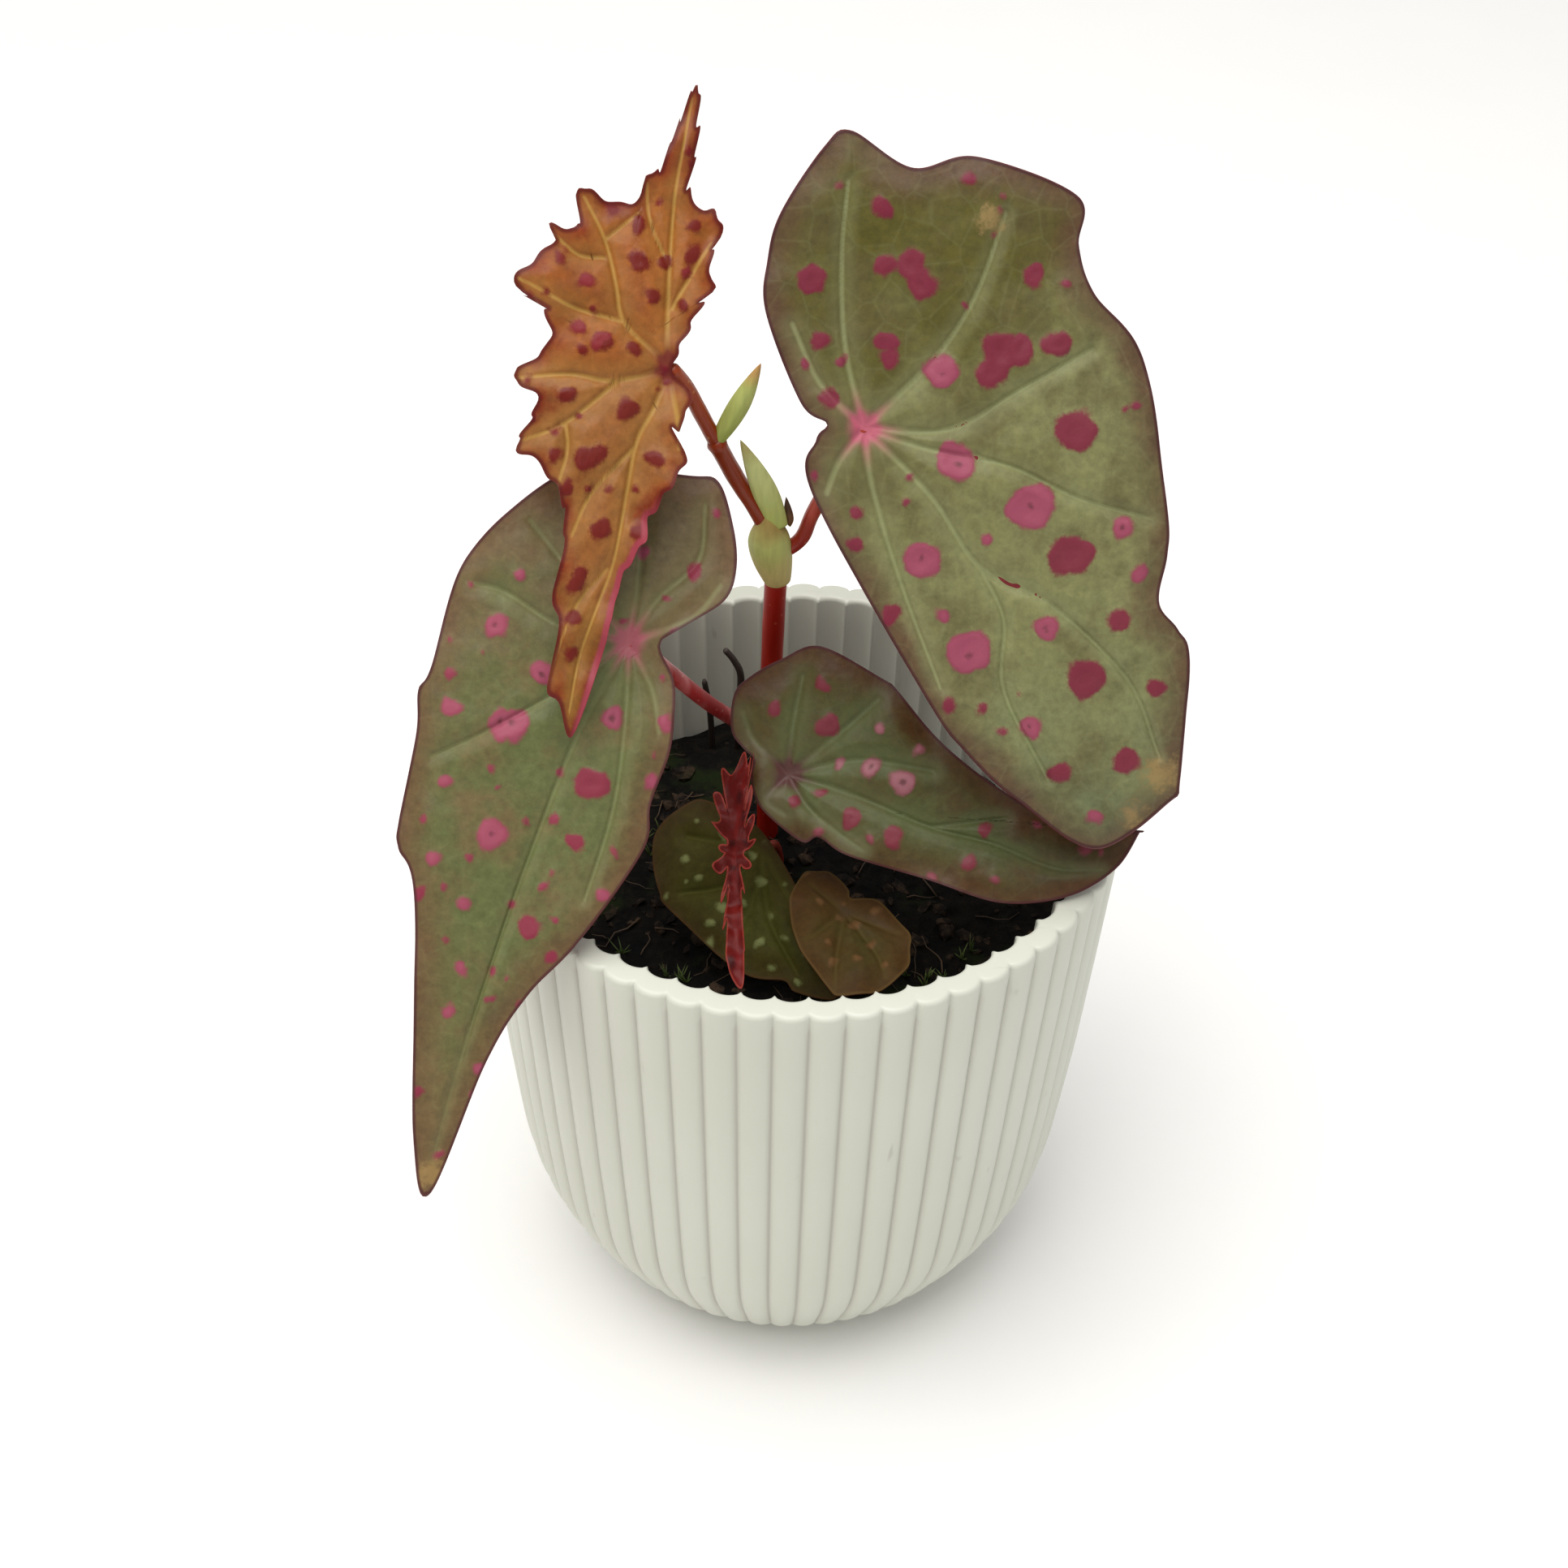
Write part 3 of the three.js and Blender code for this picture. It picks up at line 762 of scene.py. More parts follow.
@dataclass
class Leaf:
    """One blade, built as a turned disc whose spokes are stretched to the margin and bent."""

    blade: Blade
    finish: LeafFinish
    under_rings: int = 26
    fields: dict[str, np.ndarray] = field(default_factory=dict)

    def profile(self) -> list[Flat]:
        """The disc's section: over, round the edge, and back under.

        Returns:
            Points of (ring, side), where side is 1 on top and -1 below.
        """
        over = [1 - (1 - s) ** 1.35 for s in np.linspace(0, 1, self.blade.rings)]
        under = [1 - (1 - s) ** 1.35 for s in np.linspace(0, 1, self.under_rings)]
        return [(r, 1.0) for r in over] + [(1.004, 0.0)] + [(r, -1.0) for r in reversed(under)]

    def freckles(self, ends: np.ndarray) -> tuple[Point, ...]:
        """Scatter the smallest spots over the blade, between the placed ones.

        Args:
            ends: Where the blade's spokes meet its margin.

        Returns:
            More spots (u, v, radius).
        """
        rng = np.random.default_rng(len(self.blade.node) + len(self.blade.margin))
        hub = np.array(self.blade.hub)
        made = []
        while len(made) < self.blade.freckles:
            u, v = hub + 0.96 * rng.random() ** 0.4 * (ends[rng.integers(len(ends))] - hub)
            placed = self.blade.spots + self.blade.pale_spots
            clear = min(math.hypot(u - a, v - b) - r for a, b, r in placed)
            if clear > 1.6:
                made.append((u, v, 0.3 + 0.35 * rng.random()))
        return tuple(made)

    def build(self) -> bpy.types.Object:
        """Model the blade and dress it.

        Returns:
            The piece that stands for the plain blade.
        """
        blade = self.blade
        bm = spin_profile([(r, s * 0.01) for r, s in self.profile()], blade.spokes)
        bm.verts.ensure_lookup_table()
        co = np.array([v.co[:] for v in bm.verts])
        ring = np.hypot(co[:, 0], co[:, 1])
        side = np.clip(co[:, 2] / 0.01, -1, 1)
        turn = np.mod(np.arctan2(co[:, 1], co[:, 0]), 2 * math.pi)
        spoke = np.rint(turn / (2 * math.pi) * blade.spokes).astype(int) % blade.spokes
        ends = blade.outline()
        hub = np.array(blade.hub)
        flat = hub + ring[:, None] * (ends[spoke] - hub)
        looped = [tuple(p) for p in ends[::2]] + [tuple(ends[0])]
        edge = line_distance(flat, looped)
        distance = np.hypot(flat[:, 0], flat[:, 1])
        vein = np.min([line_distance(flat, smooth_line(line)) for line in blade.veins], axis=0)
        vein *= 1 + distance / blade.vein_reach
        spots = np.array(blade.pale_spots + blade.spots + self.freckles(ends))
        warp = np.column_stack([wobble(flat, 2.6, 4.4), wobble(flat, 2.6, 8.8)])
        bent = flat + 0.75 * warp
        centres = np.linalg.norm(bent[:, None] - spots[None, :, :2], axis=2)
        gaps = centres - spots[None, :, 2]
        nearest = np.argmin(gaps, axis=1)
        spot = gaps[np.arange(len(flat)), nearest]
        core = np.where(spots[nearest, 2] > 1.25, centres[np.arange(len(flat)), nearest], 4.0)
        pale = nearest < len(blade.pale_spots)
        dry = np.full(len(flat), 9.0)
        for a, b, radius in blade.dry_places:
            dry = np.minimum(dry, np.hypot(bent[:, 0] - a, bent[:, 1] - b) - radius)
        curl = smooth_step(flat[:, 1], -0.4, 0.4) * (1 - smooth_step(edge, 0.5, 0.9))
        curl *= smooth_step(flat[:, 0], blade.curled_from, blade.curled_from + 5)
        relief = blade.relief(flat, edge, vein, spot)
        half = blade.thickness / 2 * (0.55 + 0.45 * smooth_step(edge, 0.0, 3.0))
        lift = blade.height(flat) + relief + side * half
        u, v, w = blade.axes()
        world = (np.array(blade.petiole) + flat[:, :1] * u + flat[:, 1:] * v
                 + lift[:, None] * w)
        for vert, place in zip(bm.verts, world):
            vert.co = place
        bmesh.ops.recalc_face_normals(bm, faces=bm.faces)
        rays = np.exp(-((vein / 0.5) ** 2)) * (1 - smooth_step(distance, 0, 2.2 * blade.star_radius))
        self.fields = {
            "spot": np.clip(spot, -4, 4),
            "core": np.clip(core, 0, 4),
            "tone": np.where(pale, 0.9, 0.12 + 0.25 * (spots[nearest, 2] < 0.7)),
            "dry": np.clip(dry, -9, 9),
            "curl": curl,
            "vein": np.clip(vein, 0, 6),
            "edge": np.clip(edge, 0, 20),
            "along": flat[:, 0] / blade.droop[0],
            "upper": smooth_step(side, -0.2, 0.6),
            "star": np.clip((1 - smooth_step(distance, 0.4, blade.star_radius)) + rays, 0, 1) * 0.85,
        }
        piece = finish_mesh("blade_" + blade.node, bm, [self.finish.make()])
        for key, values in self.fields.items():
            layer = piece.data.attributes.new(key, "FLOAT", "POINT")
            layer.data.foreach_set("value", values.astype(np.float32))
        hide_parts(blade.node)
        return piece


class Relief(Enum):
    """How a stalk's thickness changes along it."""

    EVEN = "even"
    TAPERED = "tapered"
    SWOLLEN = "swollen"


@dataclass
class Stalk:
    """A cane, petiole or twig along a smooth route, in millimetres."""

    node: str
    slot: str
    route: Sequence[Point]
    radius: float
    relief: Relief
    material: bpy.types.Material
    sides: int = 20
    step: float = 0.7

    def width(self, share: float) -> float:
        """Radius at a share of the way along."""
        lumps = 1 + 0.04 * noise.noise(Vector((share * 9, self.radius * 7, len(self.node))))
        ends = 1 - 0.35 * (math.exp(-((share / 0.01) ** 2)) + math.exp(-(((1 - share) / 0.01) ** 2)))
        if self.relief is Relief.SWOLLEN:
            swell = 0.28 * math.exp(-(((1 - share) / 0.05) ** 2)) + 0.14 * math.exp(-((share / 0.12) ** 2))
            return self.radius * (0.96 + swell) * lumps * ends
        if self.relief is Relief.TAPERED:
            return self.radius * (1.12 - 0.22 * share) * lumps * ends
        return self.radius * lumps * ends

    def build(self) -> bpy.types.Object:
        """Model and dress the stalk.

        Returns:
            The piece that stands for the plain stem.
        """
        rough = open_curve(self.route, 60)
        length = sum((b - a).length for a, b in zip(rough, rough[1:]))
        path = open_curve(self.route, max(8, round(length / self.step)))
        bm = sweep(path, self.width, self.sides)
        piece = finish_mesh("skin_" + self.node, bm, [self.material])
        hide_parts(self.node)
        return piece


@dataclass
class Stipule:
    """A papery stipule: a pointed spindle, flattened and keeled, from its base to its tip.

    Its foot is its radius where it leaves the cane: none for a spindle, the cane's for a cup.
    """

    node: str
    base: Point
    tip: Point
    radius: float
    widest: float
    flatten: float
    bend: float
    material: bpy.types.Material
    foot: float = 0.0

    def build(self) -> bpy.types.Object:
        """Model and dress the stipule.

        Returns:
            The piece that stands for the plain spindle.
        """
        start, end = Vector(self.base), Vector(self.tip)
        length = (end - start).length
        rings = 40
        profile = []
        for i in range(rings + 1):
            share = i / rings
            side, least = (1 - share) / (1 - self.widest), 0.0
            if share < self.widest:
                side, least = share / self.widest, self.foot
            swell = math.sin(math.pi / 2 * min(1.0, side)) ** 0.8
            profile.append((least + (self.radius - least) * swell, share * length))
        profile[0] = (0.0, 0.0)
        profile[-1] = (0.0, length)
        bm = spin_profile(profile, 36)
        turn = Vector((0, 0, 1)).rotation_difference(end - start)
        for vert in bm.verts:
            x, y, z = vert.co
            share = z / length
            angle = math.atan2(y, x)
            keel = 1 + 0.1 * abs(math.cos(2 * angle)) ** 6 * math.sin(math.pi * min(1, share * 1.2))
            vert.co = Vector((x * keel + self.bend * math.sin(math.pi * share), y * self.flatten * keel, z))
        bmesh.ops.transform(bm, matrix=Matrix.Translation(start) @ turn.to_matrix().to_4x4(),
                            verts=bm.verts)
        piece = finish_mesh("papery_" + self.node, bm, [self.material])
        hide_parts(self.node)
        return piece


@dataclass
class Pot:
    """The corrugated cover pot, in millimetres."""

    height: float = 83.0
    wall: float = 3.4
    floor: float = 4.0
    base_radius: float = 25.5
    ribs: int = 60
    rib_depth: float = 0.9
    rib_fade: float = 9.0
    rib_flatness: float = 0.55
    rim_round: float = 0.7
    steps_per_rib: int = 12
    outline: tuple[Flat, ...] = (
        (25.5, 0), (29.6, 4), (33.5, 10), (38.2, 21), (40.2, 37), (41.6, 58), (43, 83),
    )

    def __post_init__(self) -> None:
        """Trace the outline once, for reading radii off it."""
        curve = open_curve([(r, h, 0) for r, h in self.outline], 200)
        self.heights = [p.y for p in curve]
        self.radii = [p.x for p in curve]

    def radius(self, z: float) -> float:
        """Outer radius over the rib tips at a height."""
        return float(np.interp(z, self.heights, self.radii))

    def profile(self) -> list[Flat]:
        """The section from the middle of the base, up the outside and down the inside.

        Returns:
            Points of (radius, height).
        """
        curve = open_curve([(r, h, 0) for r, h in self.outline], 46)
        outside = [(p.x, p.y) for p in curve if p.y < self.height - self.rim_round]
        inside = [(p.x - self.wall, p.y) for p in reversed(curve)
                  if 9 < p.y < self.height - self.rim_round]
        rim = []
        for i in range(7):
            angle = math.pi / 2 * i / 6
            rim.append((self.radius(self.height) - self.rim_round * (1 - math.cos(angle)),
                        self.height - self.rim_round * (1 - math.sin(angle))))
        inner = self.radius(self.height) - self.wall
        for i in range(7):
            angle = math.pi / 2 * (1 - i / 6)
            rim.append((inner + self.rim_round * (1 - math.cos(angle)),
                        self.height - self.rim_round * (1 - math.sin(angle))))
        base = [(0.0, 0.0), (self.base_radius * 0.5, 0.0), (self.base_radius - 1.5, 0.0)]
        floor = [(self.base_radius + 1, 6.0), (self.base_radius - 3, self.floor), (0.0, self.floor)]
        return base + outside + rim + inside + floor

    def build(self) -> bpy.types.Object:
        """Model and dress the pot.

        Returns:
            The piece that stands for the plain pot.
        """
        bm = spin_profile(self.profile(), self.ribs * self.steps_per_rib)
        groove_shade = []
        for vert in bm.verts:
            x, y, z = vert.co
            radius = math.hypot(x, y)
            dip = 1 - abs(math.cos(self.ribs / 2 * math.atan2(x, -y))) ** self.rib_flatness
            if radius < self.base_radius - 1:
                groove_shade.append(0.0)
                continue
            fade = min(1.0, max(0.0, z / self.rib_fade))
            fade = fade * fade * (3 - 2 * fade)
            scale = 1 - self.rib_depth * fade * dip / radius
            vert.co = (x * scale, y * scale, z)
            outside = radius > self.radius(z) - self.wall / 2
            below_rim = min(1.0, max(0.0, (self.height - z - 1.0) / 2))
            # The groove share is painted shade for the plastic: full in the outer grooves, 0.3 on the inner
            # wall, fading out just below the rim.
            groove_shade.append(dip * fade * below_rim * (1.0 if outside else 0.3))
        piece = finish_mesh("corrugated_pot", bm, [PotPlastic().make()])
        layer = piece.data.attributes.new("groove_shade", "FLOAT", "POINT")
        layer.data.foreach_set("value", np.array(groove_shade, dtype=np.float32))
        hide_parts("fluted_pot")
        return piece


@dataclass
class Soil:
    """The potting soil: a lumpy surface with loose crumbs, fibres, moss and a straw."""

    pot: Pot
    level: float = 62.0
    dome: float = 3.5
    lumps: float = 1.3
    crumbs: int = 420
    fibres: int = 90
    tufts: int = 46
    seed: int = 7

    def surface(self, x: float, y: float) -> float:
        """Height of the soil at a place."""
        edge = self.pot.radius(self.level) - self.pot.wall
        share = min(1.0, math.hypot(x, y) / edge)
        spot = Vector((x / 8, y / 8, 3.3))
        rough = noise.noise(spot) + 0.5 * noise.noise(spot * 2.7) + 0.3 * noise.noise(spot * 6.3)
        return self.level + self.dome * (1 - share**2) + self.lumps * rough - 0.6

    def bed(self) -> bpy.types.Object:
        """Model the main body of soil.

        Returns:
            The piece that stands for the plain soil.
        """
        wall = self.pot.wall + self.pot.rib_depth + 0.15
        profile = [(0.0, 4.4), (21.0, 4.4)]
        profile += [(self.pot.radius(z) - wall, z) for z in (11, 21, 37, 50, 58, self.level)]
        edge = self.pot.radius(self.level) - wall
        profile += [(edge * (1 - i / 70), self.level) for i in range(1, 71)]
        bm = spin_profile(profile, 240)
        for vert in bm.verts:
            if vert.co.z > self.level - 0.01:
                vert.co.z = self.surface(vert.co.x, vert.co.y)
        piece = finish_mesh("soil_bed", bm, [EarthFinish("damp_peat").make()])
        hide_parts("potting_soil")
        return piece

    def place(self, rng: np.random.Generator, reach: float = 36.0) -> Vector:
        """Pick an even random place on the soil."""
        radius = reach * math.sqrt(rng.random())
        angle = 2 * math.pi * rng.random()
        x, y = radius * math.cos(angle), radius * math.sin(angle)
        return Vector((x, y, self.surface(x, y)))

    def loose(self) -> bpy.types.Object:
        """Scatter crumbs of peat and bark over the bed.

        Returns:
            The crumbs as one piece.
        """
        rng = np.random.default_rng(self.seed)
        bm = bmesh.new()
        for _ in range(self.crumbs):
            size = 0.35 + 1.0 * rng.random() ** 2.5
            where = self.place(rng)
            made = bmesh.ops.create_icosphere(bm, subdivisions=1, radius=size)["verts"]
            for vert in made:
                vert.co *= 0.75 + 0.5 * rng.random()
            stretch = Matrix.Diagonal((1 + rng.random(), 1.0, 0.6, 1.0))
            spin = Matrix.Rotation(2 * math.pi * rng.random(), 4, "Z")
            tilt = Matrix.Rotation(0.6 * rng.random(), 4, "X")
            bmesh.ops.transform(bm, matrix=Matrix.Translation(where) @ spin @ tilt @ stretch,
                                verts=made)
        earth = EarthFinish("bark_crumbs", dark="#17120f", brown="#4a3a2c", moss_share=0.3)
        piece = finish_mesh("soil_crumbs", bm, [earth.make()], smooth=False)
        return piece

    def litter(self) -> bpy.types.Object:
        """Lay fine root fibres on the bed.

        Returns:
            The fibres as one piece.
        """
        rng = np.random.default_rng(self.seed + 1)
        whole = bmesh.new()
        for _ in range(self.fibres):
            start = self.place(rng, 34.0)
            heading = 2 * math.pi * rng.random()
            length = 2 + 6 * rng.random()
            points = []
            for i in range(5):
                x = start.x + length * i / 4 * math.cos(heading)
                y = start.y + length * i / 4 * math.sin(heading)
                heading += 0.5 * (rng.random() - 0.5)
                if math.hypot(x, y) > 36.5:
                    break
                points.append(Vector((x, y, self.surface(x, y) + 0.2 + 0.5 * rng.random())))
            if len(points) < 3:
                continue
            thin = 0.07 + 0.09 * rng.random()
            join(whole, sweep(points, lambda s, t=thin: t * (1 - 0.5 * s), 5))
        brown = PaperyFinish("root_fibre", "#2b1f16", "#4b3a28", "#7a6448", 60, 70)
        piece = finish_mesh("soil_fibres", whole, [brown.make()])
        return piece

    def moss(self) -> bpy.types.Object:
        """Grow small tufts of moss on the bed, thickest at the right and the front left.

        Returns:
            The moss as one piece.
        """
        rng = np.random.default_rng(self.seed + 2)
        whole = bmesh.new()
        centres = ((21.0, -17.0, 5.0), (-20.0, -20.0, 5.0), (-18.0, 6.0, 6.0), (14.0, 20.0, 8.0))
        for _ in range(self.tufts):
            cx, cy, spread = centres[int(rng.integers(len(centres)))]
            x, y = cx + spread * rng.normal() * 0.6, cy + spread * rng.normal() * 0.6
            if math.hypot(x, y) > 35:
                continue
            foot = Vector((x, y, self.surface(x, y) - 0.3))
            for _ in range(6):
                lean = Vector((rng.normal() * 0.5, rng.normal() * 0.5, 1)).normalized()
                tall = 1.2 + 1.6 * rng.random()
                curl = Vector((rng.normal(), rng.normal(), 0)) * 0.35
                points = [foot + lean * tall * s + curl * s * s for s in (0, 0.5, 1)]
                join(whole, sweep(points, lambda s: 0.2 * (1.05 - s), 5))
        green = PaperyFinish("moss", "#1f2a12", "#3f4d22", "#6b7a3e", 61, 68)
        piece = finish_mesh("soil_moss", whole, [green.make()])
        return piece

    def straw(self) -> bpy.types.Object:
        """Stand one thin pale straw in the soil at the front left.

        Returns:
            The straw.
        """
        route = open_curve([(-20.6, -22.5, 61.5), (-20.2, -23.0, 66), (-19.9, -23.3, 69.5)], 14)
        dry = PaperyFinish("dry_straw", "#6d6648", "#a39b74", "#b8b08a", 61, 70)
        piece = finish_mesh("straw", sweep(route, lambda s: 0.16 * (1.1 - 0.6 * s), 8), [dry.make()])
        return piece

    def build(self) -> list[bpy.types.Object]:
        """Model all of the soil.

        Returns:
            Its pieces.
        """
        return [self.bed(), self.loose(), self.litter(), self.moss(), self.straw()]


# The leaves' own sizes, in millimetres. Margins follow the frame's, before teeth are cut.
LARGE_LEAF = Blade(
    node="leaf_large_right", slot="leaf_olive",
    petiole=(6.4, 0, 138.4), tip=(36.1, -25, 95.7), faces=(0.01, -0.86, 0.51), hub=(8, 10),
    droop=(70, 5, 3), folds=(0.1, 0.1), cup=0.25, freckles=16,
    margin=(
        (58.5, 0), (57.5, 10.5), (55.5, 13), (43, 20.5), (39, 21), (35, 20.5), (30.5, 24),
        (25.5, 26.5), (9, 32), (-0.5, 30.5), (-6, 31.5), (-11, 34), (-20.5, 26), (-23, 19),
        (-30, 15), (-30, 11.5), (-26, 3.5), (-22, -0.5), (-17, -3.5), (-6, -5), (-2.5, -3.5),
        (-1.5, -5.5), (4, -9), (31.5, -9), (40, -8), (48, -5.5),
    ),
    spots=(
        (-18, 3, 1.5), (-21, 14, 1.1), (-15, 11, 1.2), (-13.5, 13.5, 1.8), (-11, 13.8, 1.8),
        (-11.5, 0.5, 1.1), (-7.5, 7, 1.3), (-5.5, 6.5, 1.1), (1.5, 15.8, 2.1), (0, 18, 2.2),
        (1, 20, 1.6), (2.5, 24, 1.7), (-5.5, 25.5, 1.3), (12, 21.5, 2.4), (8, -5.5, 1),
        (11.5, -7.5, 1), (21, -8, 1.2), (25, 14, 2.7), (34.5, 15.5, 1.5), (39, 8.5, 2.4),
        (44, 15.5, 1.2), (34, -7, 0.9), (36, -4, 0.8), (47.5, 0.5, 1.3), (50.5, 8.5, 1.5),
        (-5, -2, 0.9), (-19, 24, 0.9),
    ),
    pale_spots=(
        (-1.5, 11, 2.1), (8.5, 7.5, 2.3), (17.5, 12.5, 2.8), (17, -1.5, 2.4), (25, 21, 1.5),
        (23.5, -2.5, 0.9), (29.5, -2, 2.6), (31, 7.5, 1.5), (41, 0, 1.6), (55, 1.5, 1),
        (18, 6.5, 0.8), (31, 20, 1.1),
    ),
    dry_places=((-14, 24, 1.4), (54, 11, 2.6), (57, 6, 1.6)),
    veins=(
        ((0, 0), (-3, 11), (-7, 18.5), (-13.5, 26)),
        ((0, 0), (5, 8.5), (5, 18), (5, 27.5)),
        ((0, 0), (6, 5.5), (12, 12.5), (19.5, 18), (26, 24.5)),
        ((0, 0), (11, 3), (21, 4), (28.5, 9), (41.5, 13), (52, 12)),
        ((21, 4), (28, 3.5), (35.5, -0.5), (48, -1)),
        ((0, 0), (6.5, -2.5), (18, -5), (31.5, -7)),
        ((0, 0), (-9, 2.5), (-18, 7), (-25.5, 12)),
        ((0, 0), (-7, -2), (-14.5, -1.5)),
        ((0, 0), (2, -4.5), (4.5, -7.5)),
    ),
    spokes=460, rings=96,
)
LEFT_LEAF = Blade(
    node="leaf_left", slot="leaf_olive",
    petiole=(-20.7, -12, 115), tip=(-42.6, -56, 64.8), faces=(0.08, -0.77, 0.64), hub=(10, -6),
    droop=(80, 7, 3), folds=(0.08, 0.08), cup=0.25, freckles=30,
    margin=(
        (71.5, 0), (53.5, 1), (44, 3), (36, 6.5), (23, 10), (17.5, 9), (11, 9), (6.5, 8),
        (2.5, 6.5), (-1, 3.5), (-4.5, 6), (-8.5, 9), (-12.5, 9), (-17, 7), (-21.5, 3.5), (-21, 0),
        (-18, -10), (-14.5, -15.5), (-2.5, -21.5), (11, -21), (14, -21.5), (19, -20),
        (29.5, -18.5), (32.5, -17.5), (38, -13.5), (64.5, -4.5),
    ),
    spots=(
        (25, 2, 1.1), (36.5, 0.5, 1.5), (60, -5.5, 0.8), (45.5, 3, 0.8), (17.5, 1.5, 1.9),
        (37, -13.5, 0.8), (39, 4, 0.8), (-10.5, 4.5, 0.9),
    ),
    pale_spots=(
        (3.5, -15.5, 1.5), (14.5, -17.5, 1.2), (14.5, -11, 1.7), (14, -9.5, 1.8), (7, -8.5, 1.5),
        (9.5, 1.5, 1.3), (23.5, -15, 0.9), (27.5, -7.5, 1.8), (32, -13, 1), (36, -8, 0.9),
        (44, -5.5, 0.9), (49, -5.5, 0.8), (55, 0.5, 0.8), (58, 1, 0.8), (-3, -15, 0.9),
        (15, 8, 0.9), (7.5, 7.5, 0.8), (-6.5, -10, 1.3), (29.5, 7.5, 0.9), (-2.5, 5, 0.8),
        (-12, -10, 0.9), (-10.5, -2, 0.9),
    ),
    dry_places=((69.5, -0.5, 2.2),),
    veins=(
        ((0, 0), (-6, 1.5), (-12, 4.5), (-18.5, 3)),
        ((0, 0), (-9.5, -2), (-17, -4.5)),
        ((0, 0), (-5.5, -9.5), (-9.5, -16)),
        ((0, 0), (1, -8.5), (-0.5, -16), (0, -20.5)),
        ((0, 0), (8.5, -6), (16, -12.5), (21, -17.5)),
        ((0, 0), (12, -2), (26.5, -2.5), (38, -2.5), (54, -2), (67.5, -1)),
        ((0, 0), (10, 3), (20, 5), (31, 5.5)),
        ((0, 0), (4.5, 4.5), (9, 7)),
        ((0, 0), (-5, 6), (-10, 8)),
    ),
    spokes=460, rings=96,
)
LOWER_LEAF = Blade(
    node="leaf_lower_right", slot="leaf_olive",
    petiole=(-1.4, -10, 92.8), tip=(40.7, -18, 90.4), faces=(-0.1, -0.73, 0.67), hub=(8, -3),
    droop=(46, 2.5, 1.5), folds=(0.12, 0.12), cup=0.35, freckles=8,
    margin=(
        (44.5, 1.5), (44.5, 1.5), (38, 1), (32, 1.5), (27.5, 3), (22, 5.5), (17, 8.5), (11.5, 13),
        (9.5, 14),
        (1, 16.5), (-3.5, 14), (-7, 11), (-8.5, 8.5), (-8, 4), (-6, 2), (-4.5, 1), (-4.5, -1),
        (-3.5, -3.5), (-1.5, -5.5), (3.5, -8), (5.5, -7), (9.5, -8.5), (20, -9.5), (29.5, -10.5),
        (37.5, -8), (42.5, -3.5),
    ),
    spots=(
        (-3, 8, 1), (4, 7, 1.5), (2.5, 12, 0.8), (1.5, -3.5, 1), (4.5, -1.5, 0.7), (9, -4, 1.3),
        (15, -5, 1.2), (24.5, -6.5, 1.1), (25.5, -2, 1),
    ),
    pale_spots=(
        (10.5, 3, 1.4), (14.5, 2, 1.5), (6, 2.5, 0.8), (10, 8, 0.8), (15.5, 6, 0.6),
    ),
    dry_places=((44, 1, 1.2),),
    veins=(
        ((0, 0), (-0.5, 6.5), (-0.5, 12.5)),
        ((0, 0), (6, 7), (9.5, 11.5)),
        ((0, 0), (9, -1), (19, -3), (27, -3.5), (35, -5), (41, -4)),
        ((0, 0), (8.5, 3.5), (18, 4)),
        ((19, -3), (28, 0)),
        ((0, 0), (4, -4), (11, -7.5)),
        ((0, 0), (-5, 3.5), (-7, 6.5)),
        ((0, 0), (-2, -3.5), (0.5, -5)),
    ),
)
